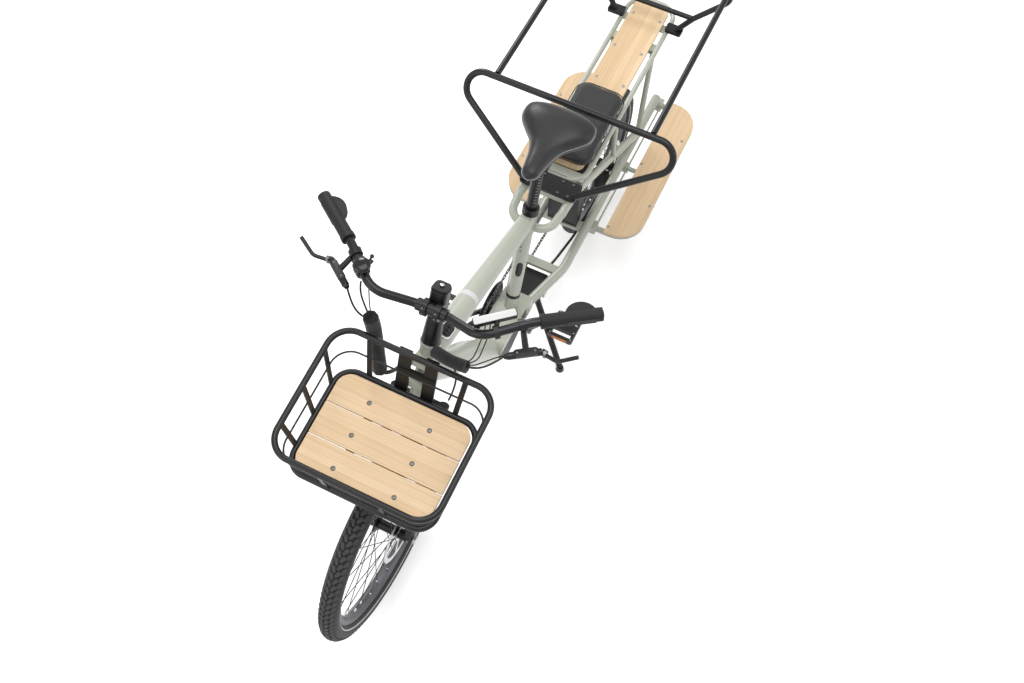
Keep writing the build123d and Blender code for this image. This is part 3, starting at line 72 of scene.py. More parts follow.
# %% Camera
CAMERA_PLACE = Vector((1.4779, 0.679, 3.250))
CAMERA_AZIMUTH, CAMERA_ELEVATION, CAMERA_ROLL = np.radians([24.1, 62.4, 2.0])
CAMERA_LENS = 38.6

aim = Vector((
    -np.cos(CAMERA_ELEVATION) * np.cos(CAMERA_AZIMUTH),
    -np.cos(CAMERA_ELEVATION) * np.sin(CAMERA_AZIMUTH),
    -np.sin(CAMERA_ELEVATION),
))
level = aim.cross(Vector((0, 0, 1))).normalized()
upright = level.cross(aim)
right = level * np.cos(CAMERA_ROLL) + upright * np.sin(CAMERA_ROLL)
above = upright * np.cos(CAMERA_ROLL) - level * np.sin(CAMERA_ROLL)
camera_data = bpy.data.cameras.new("camera")
camera_data.lens, camera_data.sensor_width = CAMERA_LENS, 36
camera_data.clip_start, camera_data.clip_end = 0.05, 60
camera = bpy.data.objects.new("camera", camera_data)
bpy.context.scene.collection.objects.link(camera)
camera.matrix_world = Matrix((right, above, -aim)).transposed().to_4x4()
camera.location = CAMERA_PLACE
bpy.context.scene.camera = camera
bpy.context.scene.view_settings.view_transform = "Standard"
print("camera looks down at", round(float(np.degrees(CAMERA_ELEVATION)), 1), "degrees")


# %% Lamps
def soft_lamp(name, place, target, size, power):
    """A square area lamp that looks from place to target. size in metres, power in watts."""
    data = bpy.data.lights.new(name, "AREA")
    data.shape, data.size, data.energy = "SQUARE", size, power
    lamp = bpy.data.objects.new(name, data)
    bpy.context.scene.collection.objects.link(lamp)
    lamp.location = place
    lamp.rotation_euler = (Vector(target) - Vector(place)).to_track_quat("-Z", "Y").to_euler()
    return lamp


BICYCLE_MIDDLE = (0, 0, 0.5)
soft_lamp("overhead_lamp", (0.2, 0.3, 4.6), BICYCLE_MIDDLE, 3.0, 100)
soft_lamp("front_lamp", (3.6, -1.8, 2.6), BICYCLE_MIDDLE, 2.4, 38)
soft_lamp("left_lamp", (-0.8, 3.8, 2.4), BICYCLE_MIDDLE, 2.4, 24)
soft_lamp("back_lamp", (-2.8, -2.4, 3.2), BICYCLE_MIDDLE, 1.4, 75)

world = bpy.data.worlds.new("studio")
bpy.context.scene.world = world
world.use_nodes = True
WORLD_GLOW = 0.5

# %% [markdown]
# ## Finishes as formulas
#
# A finish is a small network of nodes. Wiring it by hand takes a line per wire, and the reader
# loses the idea. `Wire` lets the network be written as arithmetic, and `Finish.node` adds any node
# from its type, its settings and its inputs.


# %% Wires
class Wire:
    """One output in a node tree. Arithmetic on it adds Math nodes, so a formula reads as Python."""

    def __init__(self, tree, socket):
        self.tree, self.socket = tree, socket

    def _math(self, operation, *values):
        """One Math node, its inputs the values in their order."""
        return add_node(self.tree, "ShaderNodeMath", {"operation": operation}, dict(enumerate(values)))

    def __add__(self, other):
        return self._math("ADD", self, other)

    def __sub__(self, other):
        return self._math("SUBTRACT", self, other)

    def __rsub__(self, other):
        return self._math("SUBTRACT", other, self)

    def __mul__(self, other):
        return self._math("MULTIPLY", self, other)

    def __truediv__(self, other):
        return self._math("DIVIDE", self, other)

    def __pow__(self, other):
        return self._math("POWER", self, other)

    __radd__, __rmul__ = __add__, __mul__

    def over(self, edge):
        """1 where the value is larger than edge, else 0."""
        return self._math("GREATER_THAN", self, edge)

    def do(self, operation, *others):
        """Any other operation of the Math node, such as SINE or FLOOR."""
        return self._math(operation, self, *others)


# %% Any node
def add_node(tree, kind, settings=None, inputs=None, output=0):
    """Any node, from its type, its settings and the values or wires of its inputs.

    A setting named stops is a ramp's list of (place, colour). output picks the socket returned."""
    made = tree.nodes.new(kind)
    for key, value in (settings or {}).items():
        if key == "stops":
            ramp = made.color_ramp.elements
            while len(ramp) < len(value):
                ramp.new(1)
            for stop, (place, colour) in zip(ramp, value):
                stop.position, stop.color = place, (*colour, 1)
        else:
            setattr(made, key, value)
    for key, value in (inputs or {}).items():
        plug(tree, made.inputs[key], value)
    return Wire(tree, made.outputs[output])


def plug(tree, socket, value):
    """A wire is linked to the socket, and a number or colour is set on it."""
    if isinstance(value, Wire):
        tree.links.new(value.socket, socket)
    elif isinstance(value, tuple) and len(value) == 3 and socket.type == "RGBA":
        socket.default_value = (*value, 1)
    else:
        socket.default_value = value


# %% A finish
class Finish:
    """A material under construction. Its shader's inputs are set or wired with set()."""

    def __init__(self, name, **shader_inputs):
        self.material = bpy.data.materials.new(name)
        self.material.use_nodes = True
        self.tree = self.material.node_tree
        self.shader = self.tree.nodes["Principled BSDF"]
        self.place = self.node("ShaderNodeTexCoord", output="Object")
        self.set(**shader_inputs)

    def node(self, kind, settings=None, inputs=None, output=0):
        """Any node in this finish's own tree."""
        return add_node(self.tree, kind, settings, inputs, output)

    def set(self, **shader_inputs):
        """Sets or wires the shader's inputs, named in small letters: base_color is Base Color."""
        for name, value in shader_inputs.items():
            label = name.replace("_", " ").title().replace("Ior", "IOR")
            plug(self.tree, self.shader.inputs[label], value)

    def axis(self, letter):
        """The X, Y or Z of the place on the piece, in metres."""
        return self.node("ShaderNodeSeparateXYZ", None, {0: self.place}, letter)

    def stretched(self, scale):
        """The place on the piece, scaled along each axis."""
        return self.node("ShaderNodeMapping", None, {"Vector": self.place, "Scale": scale})

    def noise(self, scale, detail=3, rough=0.5, where=None):
        """Cloudy noise from 0 to 1, with about scale lumps a metre."""
        inputs = {"Vector": where or self.place, "Scale": scale, "Detail": detail, "Roughness": rough}
        return self.node("ShaderNodeTexNoise", None, inputs)

    def cells(self, scale):
        """The distance to the nearest of scattered points, about scale of them a metre."""
        return self.node("ShaderNodeTexVoronoi", None, {"Vector": self.place, "Scale": scale})

    def mix(self, share, first, second):
        """A colour between two, by share from 0 to 1."""
        settings = {"data_type": "RGBA", "blend_type": "MIX"}
        return self.node("ShaderNodeMix", settings, {0: share, 6: first, 7: second}, 2)

    def ramp(self, value, *stops):
        """A colour read from stops of (place, colour) at a value from 0 to 1."""
        return self.node("ShaderNodeValToRGB", {"stops": stops}, {0: value})

    def bump(self, height, depth, strength=1.0):
        """Surface relief: height from 0 to 1 stands for depth metres."""
        inputs = {"Strength": strength, "Distance": depth, "Height": height}
        self.set(normal=self.node("ShaderNodeBump", None, inputs))


print("a finish offers", [name for name in vars(Finish) if not name.startswith("_")])


# %% The pale floor and world
def glow_for_camera(tree, plain, white):
    """plain for light that works on the scene, white where it is looked at or mirrored.

    The factor is 1 for a ray from the camera, a mirrored ray or one through glass, else 0."""
    rays = add_node(tree, "ShaderNodeLightPath", output="Is Camera Ray")
    for kind in ("Is Glossy Ray", "Is Transmission Ray"):
        rays = rays + add_node(tree, "ShaderNodeLightPath", output=kind)
    return add_node(tree, "ShaderNodeMixShader", None, {0: rays, 1: plain, 2: white})


world_tree = world.node_tree
world_tree.nodes.clear()
dim, bright = (
    add_node(world_tree, "ShaderNodeBackground", None, {"Color": (1.0, 1.0, 1.0), "Strength": strength})
    for strength in (WORLD_GLOW, 1.0)
)
world_out = world_tree.nodes.new("ShaderNodeOutputWorld")
plug(world_tree, world_out.inputs["Surface"], glow_for_camera(world_tree, dim, bright))

FLOOR_SIZE = 16
floor_mesh = bpy.data.meshes.new("floor")
corners = np.array([(-1, -1, 0), (1, -1, 0), (1, 1, 0), (-1, 1, 0)]) * FLOOR_SIZE / 2
floor_mesh.from_pydata(corners.tolist(), [], [(0, 1, 2, 3)])
floor = bpy.data.objects.new("floor", floor_mesh)
bpy.context.scene.collection.objects.link(floor)
floor.location = (0, 0, -0.0005)

floor_finish = Finish("floor_finish", base_color=(0.86, 0.86, 0.87), roughness=0.35)
FLOOR_GLOW = 0.42
lit = Wire(floor_finish.tree, floor_finish.shader.outputs[0])
glow = floor_finish.node("ShaderNodeEmission", None, {"Color": (1.0, 1.0, 1.0), "Strength": FLOOR_GLOW})
both = floor_finish.node("ShaderNodeAddShader", None, {0: lit, 1: glow})
floor_look = glow_for_camera(floor_finish.tree, lit, both)
plug(floor_finish.tree, floor_finish.tree.nodes["Material Output"].inputs["Surface"], floor_look)
floor_mesh.materials.append(floor_finish.material)
print("floor", FLOOR_SIZE, "metres across")

# %% [markdown]
# ## Paint, metal, rubber, wood
#
# Each finish has more than its colour. The frame's paint is pale sage with a faint orange peel, so
# its highlights break up softly. The black parts are powder coated, and powder leaves a fine
# pebble. Bamboo shows its laid strips. Each could be an image wrapped round the piece, but noise and
# stripes worked out from the place on the piece have no seams and stay sharp. Relief as fine as
# this is made with a Bump node, because no mesh could carry it.


# %% Paint, powder and plastic
def sage_paint():
    """Pale grey-green with a satin clear coat and a little orange peel."""
    made = Finish("sage_paint", roughness=0.34, coat_weight=0.35, coat_roughness=0.16)
    drift = made.noise(2.2, 2)
    made.set(base_color=made.mix(drift, (0.375, 0.396, 0.33), (0.42, 0.442, 0.372)))
    made.set(roughness=made.noise(30, 2) * 0.08 + 0.3)
    made.bump(made.noise(420, 2), 0.00012, 0.35)
    return made.material


def powder_coat(name="powder_coat", tone=0.006, roughness=0.31):
    """Black powder coat: a fine pebble under a satin skin."""
    made = Finish(name, specular_ior_level=0.32)
    haze = made.noise(9, 3)
    made.set(base_color=made.mix(haze, (tone, tone, tone * 1.05), (tone * 1.6, tone * 1.6, tone * 1.7)))
    made.set(roughness=made.noise(60, 3) * 0.12 + (roughness - 0.06))
    made.bump(made.noise(900, 2), 0.00012, 0.4)
    return made.material


def moulded_plastic(name="moulded_plastic", tone=0.009, roughness=0.46, blue=1.05):
    """Dark moulded plastic with a spark-eroded grain."""
    made = Finish(name, base_color=(tone, tone, tone * blue), specular_ior_level=0.36)
    made.set(roughness=made.noise(40, 2) * 0.1 + (roughness - 0.05))
    made.bump(made.noise(1500, 3), 0.0001, 0.5)
    return made.material


PAINT = sage_paint()
POWDER = powder_coat()
PLASTIC = moulded_plastic()
RUBBER = moulded_plastic("rubber", 0.028, 0.72)
print("finishes:", ", ".join(made.name for made in (PAINT, POWDER, PLASTIC, RUBBER)))


# %% Steel and bamboo
def brushed_steel(name="brushed_steel", tone=0.55, roughness=0.3):
    """Ground steel: long fine scratches and a slight change of gloss."""
    made = Finish(name, metallic=1.0)
    scratches = made.noise(1, 4, 0.6, made.stretched((1800, 240, 1800)))
    made.set(base_color=made.mix(scratches, (tone * 0.86,) * 3, (tone * 1.08,) * 3))
    made.set(roughness=scratches * 0.14 + (roughness - 0.07))
    return made.material


BAMBOO_PALE, BAMBOO_MIDDLE, BAMBOO_DEEP = (0.78, 0.6, 0.4), (0.715, 0.525, 0.325), (0.6, 0.42, 0.235)


def bamboo(name, along="X", plank=0.021):
    """Laid bamboo: strips plank metres wide, each with its own tone and fibres that run along."""
    made = Finish(name, specular_ior_level=0.35)
    across_axis = {"X": "Y", "Y": "X"}[along]
    strip = made.axis(across_axis) / plank
    number = strip.do("FLOOR")
    tone = made.node("ShaderNodeTexWhiteNoise", {"noise_dimensions": "1D"}, {"W": number})
    long_way, cross_way = (6, 420) if along == "X" else (420, 6)
    fibres = made.noise(1, 5, 0.65, made.stretched((long_way, cross_way, 300)))
    broad = made.noise(1, 3, 0.6, made.stretched((long_way / 3, cross_way / 7, 60)))
    seam = (strip - number - 0.5).do("ABSOLUTE").over(0.478)
    grain = fibres * 0.5 + broad * 0.3 + tone * 0.2
    colour = made.ramp(grain, (0.3, BAMBOO_DEEP), (0.52, BAMBOO_MIDDLE), (0.72, BAMBOO_PALE))
    made.set(base_color=made.mix(seam * 0.35, colour, (0.36, 0.21, 0.095)))
    made.set(roughness=fibres * 0.16 + 0.42)
    made.bump(fibres * 0.7 + (1 - seam) * 0.3, 0.0004, 0.35)
    return made.material


STEEL = brushed_steel()
ALLOY = brushed_steel("dark_alloy", 0.16, 0.42)
BAMBOO_LONG = bamboo("bamboo_long", "X")
BAMBOO_CROSS = bamboo("bamboo_cross", "Y")
print("finishes:", ", ".join(made.name for made in (STEEL, ALLOY, BAMBOO_LONG, BAMBOO_CROSS)))

# %% Each solid gets its finish
BY_SLOT = {
    "paint": PAINT, "black": POWDER, "plastic": PLASTIC, "steel": STEEL, "alloy": ALLOY,
    "wood": BAMBOO_LONG, "tyre": RUBBER, "rubber": RUBBER, "cover": PLASTIC,
}
for part in frame["record"]["subparts"]:
    solid = NODES[part["node"]]
    solid.data.materials.clear()
    solid.data.materials.append(BY_SLOT[part["material_slot"]])
NODES["basket_boards"].data.materials[0] = BAMBOO_CROSS

# %% [markdown]
# ## Shapes from formulas
#
# Most small things on a bicycle are a flat outline given some thickness, and repeated: a tread
# block, a chain plate, a bolt head, a spoke nipple. On the real machine they are moulded, punched or
# turned. Each could be modelled by hand and repeated with an Array modifier, but then its places
# would be settings hidden in the file. Here one function stacks an outline at several heights, and
# another repeats the result at many places at once, so a whole tread is a few lines.


# %% Places on the bicycle
RECORD = frame["record"]
JOINTS = {joint["name"]: joint for joint in RECORD["behaviour"]["joints"]}
FRONT_AXLE = np.array(JOINTS["front_wheel_spin"]["pos_m"])
REAR_AXLE = np.array(JOINTS["rear_wheel_spin"]["pos_m"])
CRANK_CENTRE = np.array(JOINTS["crank_spin"]["pos_m"])
STEER_UP = np.array(JOINTS["steering_turn"]["axis"])
STEER_PLACE = np.array(JOINTS["steering_turn"]["pos_m"])
AHEAD, LEFT, UP = np.eye(3)


def at(x, y, z):
    """A place in metres: x ahead of the rear axle, y to the rider's left, z above the floor."""
    return np.array([REAR_AXLE[0] + x, y, z])


def unit(rows):
    """Each row divided by its own length."""
    rows = np.asarray(rows, float)
    return rows / np.linalg.norm(rows, axis=-1, keepdims=True)


print("wheelbase", round(float(FRONT_AXLE[0] - REAR_AXLE[0]), 3), "m")


# %% Outlines and stacks
def grid_faces(rows, columns, rows_wrap=False, columns_wrap=True):
    """Squares between the points of a grid, joined end to end where it wraps."""
    index = np.arange(rows * columns).reshape(rows, columns)
    if rows_wrap:
        index = np.vstack([index, index[:1]])
    if columns_wrap:
        index = np.hstack([index, index[:, :1]])
    corners = index[:-1, :-1], index[:-1, 1:], index[1:, 1:], index[1:, :-1]
    return np.stack(corners, axis=-1).reshape(-1, 4).tolist()


def circle(sides):
    """A circle of radius 1, as rows of (cos, sin)."""
    turn = np.arange(sides) / sides * 2 * np.pi
    return np.stack([np.cos(turn), np.sin(turn)], axis=1)


def rounded(length, width, corner, steps=4):
    """A rectangle with round corners, as rows of (x, y)."""
    turn = np.radians(np.linspace(0, 90, steps + 1))
    arc = corner * np.stack([np.cos(turn), np.sin(turn)], axis=1)
    quarter = arc + [length / 2 - corner, width / 2 - corner]
    return np.vstack([quarter, quarter[::-1] * [-1, 1], -quarter, quarter[::-1] * [1, -1]])


def stack(outline, levels):
    """An outline at each level of (height, scale), with both ends closed."""
    outline = np.asarray(outline, float)
    count = len(outline)
    layers = [np.column_stack([outline * scale, np.full(count, height)]) for height, scale in levels]
    last = (len(levels) - 1) * count
    ends = [list(range(count)), list(range(last, last + count))]
    return np.vstack(layers), grid_faces(len(levels), count) + ends


print("a stacked hexagon has", len(stack(circle(6), [(0, 1), (1, 1)])[1]), "faces")


# %% Copies, mirror images and tubes
def copies(shape, places, z_axis=UP, x_hint=AHEAD):
    """The shape at every place, its own Z along z_axis and its X as near as it can to x_hint."""
    points, faces = shape
    places = np.atleast_2d(places)
    z = unit(np.broadcast_to(z_axis, places.shape))
    y = unit(np.cross(z, np.broadcast_to(x_hint, places.shape)))
    turn = np.stack([np.cross(y, z), y, z], axis=2)
    spread = np.einsum("nij,pj->npi", turn, points) + places[:, None]
    starts = range(0, len(places) * len(points), len(points))
    return spread.reshape(-1, 3), [[i + start for i in face] for start in starts for face in faces]


def joined(*shapes):
    """Several shapes as one."""
    faces, start = [], 0
    for points, own_faces in shapes:
        faces += [[i + start for i in face] for face in own_faces]
        start += len(points)
    return np.vstack([points for points, own_faces in shapes]), faces


def mirrored(shape):
    """The shape and its mirror image on the other side of the bicycle."""
    points, faces = shape
    return joined(shape, (points * [1, -1, 1], faces))


def tube(path, radius, sides=10, closed=False, hint=UP):
    """A round tube along rows of points. radius is one number, or one for each row."""
    path = np.asarray(path, float)
    if closed:
        along = unit(np.roll(path, -1, axis=0) - np.roll(path, 1, axis=0))
    else:
        along = unit(np.gradient(path, axis=0))
    side = unit(np.cross(along, hint))
    lift = np.cross(side, along)
    ring = circle(sides)
    spread = ring[:, :1] * side[:, None] + ring[:, 1:] * lift[:, None]
    points = path[:, None] + spread * np.broadcast_to(radius, len(path))[:, None, None]
    faces = grid_faces(len(path), sides, closed)
    if not closed:
        last = (len(path) - 1) * sides
        faces += [list(range(sides)), list(range(last, last + sides))]
    return points.reshape(-1, 3), faces


print("a straight tube has", len(tube([(0, 0, 0), (1, 0, 0)], 0.01)[1]), "faces")


# %% From a shape to a piece
def dress(piece, material, body, replaces=()):
    """Gives a piece its material, the body it rides on and the solids it stands for."""
    piece.data.materials.append(material)
    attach(piece, body)
    if replaces:
        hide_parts(*replaces)
    return piece


def mesh_object(name, shape, crisp=35):
    """A shape as a Blender object that faces outward, smooth but for edges sharper than crisp."""
    points, faces = shape
    mesh = bpy.data.meshes.new(name)
    mesh.from_pydata(np.asarray(points, float).tolist(), [], faces)
    tidy = bmesh.new()
    tidy.from_mesh(mesh)
    bmesh.ops.remove_doubles(tidy, verts=tidy.verts, dist=1e-6)
    bmesh.ops.recalc_face_normals(tidy, faces=tidy.faces)
    tidy.to_mesh(mesh)
    tidy.free()
    mesh.shade_smooth()
    mesh.set_sharp_from_angle(angle=np.radians(crisp))
    made = bpy.data.objects.new(name, mesh)
    bpy.context.scene.collection.objects.link(made)
    return made


def add_piece(name, shape, material, body, replaces=(), crisp=35):
    """A shape made into a finished piece of the bicycle."""
    piece = dress(mesh_object(name, shape, crisp), material, body, replaces)
    print(name, len(piece.data.polygons), "faces")
    return piece


def button_head(radius, height):
    """A dome-headed screw with a round-cornered socket, its foot a little below the surface."""
    rows = [(-0.5, 1), (0.35, 1), (0.8, 0.82), (1, 0.55), (0.95, 0.42), (0.3, 0.38)]
    return stack(circle(12), [(level * height, share * radius) for level, share in rows])


print("a screw has", len(button_head(0.005, 0.0025)[1]), "faces")


# %% [markdown]
# ## Tyres
#
# A cargo tyre is moulded hot in one piece: a round casing, two rows of blocks along the middle and
# a row on each shoulder, all slanted so that water is pushed outwards. A thin reflective line runs
# round the sidewall near the rim. The blocks could be a displacement map, but that needs a very fine
# mesh to keep their edges. Here each block is a small solid of its own: the casing is drawn a little
# under the CAD solid's size, and the blocks rise from it to that size. The line is colour, so it is
# in the rubber's finish.


# %% The rubber
# How far inside the tyre's edge the reflective line ends and starts, and the painted shade of the
# tread's grooves starts.
LINE_INSIDE, LINE_OUTSIDE, GROOVE_SHADE = 0.0425, 0.0395, 0.012


def tyre_rubber(name, axle, radius):
    """Dark rubber, a little dusty, with a pale reflective line low on each sidewall and painted shade
    in the grooves.
    """
    made = Finish(name, specular_ior_level=0.35)
    x, z = made.axis("X") - float(axle[0]), made.axis("Z") - float(axle[2])
    reach = (x * x + z * z) ** 0.5
    line = reach.over(radius - LINE_INSIDE) * (1 - reach.over(radius - LINE_OUTSIDE))
    dust = made.noise(7, 4)
    rubber = made.mix(dust, (0.03, 0.03, 0.031), (0.05, 0.049, 0.049))
    # painted shade: the casing near the tread, between the blocks, is drawn near black as shade in the
    # grooves
    rubber = made.mix(reach.over(radius - GROOVE_SHADE), rubber, (0.012, 0.012, 0.012))
    made.set(base_color=made.mix(line, rubber, (0.6, 0.6, 0.6)))
    made.set(roughness=made.noise(200, 2) * 0.12 + 0.62)
    ribs = (reach * 900).do("SINE") * 0.5 + 0.5
    made.bump(made.noise(1200, 2) * 0.6 + ribs * 0.4, 0.0001, 0.5)
    return made.material


TREAD_RUBBER = moulded_plastic("tread_rubber", 0.05, 0.68)
print("tread:", TREAD_RUBBER.name)

# %% Casing
SECTION, CASING = 0.028, 0.0242
ROUND_WHEEL, ACROSS_TYRE = 128, 37
BEAD_LEAN, SHOULDER_LEAN, SHOULDER_BLEND = np.radians(141), 1.05, 0.3


def on_tyre(axle, radius, turn, lean, depth):
    """Points on a tyre: turn round the axle, lean across the tread, depth from the section's middle."""
    out = np.stack([np.cos(turn), 0 * turn, np.sin(turn)], axis=-1)
    reach = radius - SECTION + depth * np.cos(lean)
    return axle + out * reach[..., None] + LEFT * (depth * np.sin(lean))[..., None]


def casing(axle, radius):
    """A round section, slimmer under the tread, closed across its flat inner side.

    depth = CASING + (SECTION - CASING) s, where s rises from 0 to 1 across the shoulder."""
    around = np.linspace(0, 2 * np.pi, ROUND_WHEEL, endpoint=False)
    turn, lean = np.meshgrid(around, np.linspace(-BEAD_LEAN, BEAD_LEAN, ACROSS_TYRE), indexing="ij")
    shoulder = np.clip((np.abs(lean) - SHOULDER_LEAN) / SHOULDER_BLEND, 0, 1)
    depth = CASING + (SECTION - 0.0002 - CASING) * shoulder
    points = on_tyre(axle, radius, turn, lean, depth)
    return points.reshape(-1, 3), grid_faces(ROUND_WHEEL, ACROSS_TYRE, True)


print("a casing has", ROUND_WHEEL * ACROSS_TYRE, "points")

# %% Tread blocks
# For each row of blocks: how far round the section, its shift in blocks, and the slant of a block.
TREAD_ROWS = (-0.76, 0, -0.75), (-0.25, 0.5, -0.55), (0.25, 0, 0.55), (0.76, 0.5, 0.75)


def tread(axle, radius, pitch=0.0215):
    """Four rows of slanted fan-shaped blocks, each row half a block behind its neighbour."""
    fan_side = np.array([(-0.0095, -0.0034), (0.006, -0.0062), (0.0098, -0.003)]) * [1, 0.98]
    fan = np.vstack([fan_side, fan_side[::-1] * [1, -1]])
    height = SECTION - CASING - 0.0001
    block = stack(fan, [(-0.0015, 1.06), (height * 0.7, 0.97), (height, 0.9)])
    count = int(round(2 * np.pi * radius / pitch))
    rows = []
    for lean, shift, slant in TREAD_ROWS:
        turn = (np.arange(count) + shift) / count * 2 * np.pi
        tilt = np.full(count, lean)
        foot = on_tyre(axle, radius, turn, tilt, np.full(count, CASING))
        outward = unit(foot - on_tyre(axle, radius, turn, tilt, np.zeros(count)))
        travel = np.stack([-np.sin(turn), 0 * turn, np.cos(turn)], axis=1)
        rows.append(copies(block, foot, outward, travel + LEFT * slant))
    return joined(*rows)


print(len(TREAD_ROWS), "rows of blocks")


# %% Both tyres
def wheel_radius(node):
    """Half the height of a wheel's box."""
    low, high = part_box(node)
    return (high[2] - low[2]) / 2


FRONT_RADIUS, REAR_RADIUS = wheel_radius("front_tyre"), wheel_radius("rear_tyre")
for end, axle, radius in (("front", FRONT_AXLE, FRONT_RADIUS), ("rear", REAR_AXLE, REAR_RADIUS)):
    rubber_finish = tyre_rubber(end + "_tyre_rubber", axle, radius)
    solid, body = end + "_tyre", end + "_wheel_body"
    add_piece(end + "_casing", casing(axle, radius), rubber_finish, body, [solid], 60)
    add_piece(end + "_tread", tread(axle, radius), TREAD_RUBBER, body, (), 30)


# %% [markdown]
# ## Wheels
#
# The wheels are laced from thirty-two black spokes, each held by a brass nipple plated silver. The
# solid already carries rim, hub and crossed spokes, so only its finish changes. Each part of it
# could have a material of its own, but the finish can also ask how far the axle is: the rim is
# anodised dark grey, and the spokes and hub nearer the axle are black. The nipples are turned
# pieces on the ends of the spokes, and they follow the same lacing rule as the solid.


# %% Wheels
RIM_INSIDE = 0.0713


def wheel_finish(name, axle, radius):
    """Dark anodised rim outside RIM_INSIDE of the tyre's edge, black spokes and hub within it."""
    made = Finish(name, metallic=0.85)
    x, z = made.axis("X") - float(axle[0]), made.axis("Z") - float(axle[2])
    reach = (x * x + z * z) ** 0.5
    rim = reach.over(radius - RIM_INSIDE - 0.001)
    haze = made.noise(14, 3)
    grey = made.mix(haze, (0.085, 0.085, 0.094), (0.12, 0.12, 0.13))
    made.set(base_color=made.mix(rim, (0.022, 0.022, 0.024), grey))
    turning = (reach * 7000).do("SINE") * 0.5 + 0.5
    made.set(roughness=made.noise(50, 2) * 0.1 + rim * 0.06 + 0.3)
    made.bump(turning, 0.00004, 0.3)
    return made.material


def nipples(axle, radius, count=32, crossing=62):
    """A small turned nipple where each spoke meets the rim, in line with its spoke."""
    index = np.arange(count)
    side = np.where(index % 2, 1, -1)
    lead = np.where(index // 2 % 2, 1, -1)
    rim_turn = 2 * np.pi * index / count
    hub_turn = rim_turn + lead * np.radians(crossing)
    flange = side * 0.029 + lead * 0.0013
    hub = np.stack([0.025 * np.cos(hub_turn), flange, 0.025 * np.sin(hub_turn)], axis=1)
    reach = radius - RIM_INSIDE + 0.003
    rim = np.stack([reach * np.cos(rim_turn), side * 0.002, reach * np.sin(rim_turn)], axis=1)
    shape = stack(circle(8), [(0, 0.0022), (0.0125, 0.0022), (0.014, 0.0015)])
    return copies(shape, axle + rim, hub - rim, LEFT)


NIPPLE_SILVER = brushed_steel("nipple_silver", 0.72, 0.24)
for end, axle, radius in (("front", FRONT_AXLE, FRONT_RADIUS), ("rear", REAR_AXLE, REAR_RADIUS)):
    NODES[end + "_wheel"].data.materials[0] = wheel_finish(end + "_wheel_metal", axle, radius)
    ends = nipples(axle, radius)
    add_piece(end + "_spoke_nipples", ends, NIPPLE_SILVER, end + "_wheel_body")

# %% [markdown]
# ## Saddle and cushion
#
# The saddle is a foam shell under a stretched cover: wide and domed at the back for sitting upright,
# narrow at the nose. It could be sculpted by hand, but a loft keeps its two halves alike: the half
# width, the top and the skirt are each a smooth curve along its length. The passenger cushion is a
# sewn cover over a flat pad. A sewn pad swells where nothing holds it, so it is blown up as cloth
# from a slightly smaller block, and lies flat where it rests on the deck. A round piping and a lap
# seam go over both afterwards.


# %% Covers
def cover_cloth(name, tone, grain, roughness):
    """Coated cover fabric: a fine leather grain of grain cells a metre, under a low sheen."""
    made = Finish(name, specular_ior_level=0.26, sheen_weight=0.12)
    worn = made.noise(5, 3)
    made.set(base_color=made.mix(worn, (tone * 0.8,) * 3, (tone * 1.25,) * 3))
    made.set(roughness=made.noise(120, 3) * 0.14 + (roughness - 0.07))
    made.bump(made.cells(grain) * 0.7 + made.noise(grain * 1.6, 2) * 0.3, 0.00025, 0.5)
    return made.material


SADDLE_COVER = cover_cloth("saddle_cover", 0.018, 700, 0.34)
CUSHION_COVER = cover_cloth("cushion_cover", 0.024, 900, 0.44)
PIPING = moulded_plastic("grey_piping", 0.26, 0.5)
print("covers:", SADDLE_COVER.name, CUSHION_COVER.name)


# %% The saddle's surface
def flow(x, stations, values):
    """A smooth curve through (station, value) points: cubic pieces that share their slopes."""
    stations, values = np.asarray(stations, float), np.asarray(values, float)
    slope = np.gradient(values, stations)
    k = np.clip(np.searchsorted(stations, x) - 1, 0, len(stations) - 2)
    span = stations[k + 1] - stations[k]
    t = (x - stations[k]) / span
    start = (1 + 2 * t) * (1 - t) ** 2 * values[k] + t * (1 - t) ** 2 * span * slope[k]
    end = t * t * (3 - 2 * t) * values[k + 1] + t * t * (t - 1) * span * slope[k + 1]
    return start + end


def power(value, exponent):
    """value to the exponent, with its sign kept."""
    return np.sign(value) * np.abs(value) ** exponent


SADDLE_REAR, SADDLE_NOSE = 0.3445, 0.5955


def saddle_surface(x, around):
    """The cover at x along the saddle and angle around its section.

    y = w cos^0.7, z = skirt + crown sin^0.62 above the skirt, and a shallow belly below it."""
    round_rear = np.sqrt(1 - np.clip((0.378 - x) / (0.378 - SADDLE_REAR), 0, 1) ** 2.6)
    round_nose = np.sqrt(1 - np.clip((x - 0.574) / (SADDLE_NOSE - 0.574), 0, 1) ** 2)
    taper = round_rear * round_nose
    stations = [0.344, 0.37, 0.395, 0.42, 0.445, 0.47, 0.505, 0.54, 0.575, 0.597]
    half = flow(x, stations, [0.084, 0.1, 0.1045, 0.0985, 0.077, 0.053, 0.037, 0.0295, 0.0245, 0.022])
    top = flow(x, stations, [0.914, 0.9235, 0.9275, 0.9265, 0.923, 0.919, 0.9155, 0.9145, 0.912, 0.906])
    skirt = flow(x, stations, [0.894, 0.889, 0.885, 0.882, 0.8805, 0.88, 0.8805, 0.882, 0.884, 0.887])
    sine, cosine = np.sin(around), np.cos(around)
    rise = np.where(sine > 0, (top - skirt) * power(sine, 0.62), 0.006 * sine)
    return at(x, half * taper * power(cosine, 0.7), skirt + rise * np.sqrt(taper))


def saddle_points(x, around):
    """The same, as rows of (x, y, z)."""
    return np.stack(np.broadcast_arrays(*saddle_surface(x, around)), axis=-1)


print("the saddle is", round(SADDLE_NOSE - SADDLE_REAR, 3), "m long")

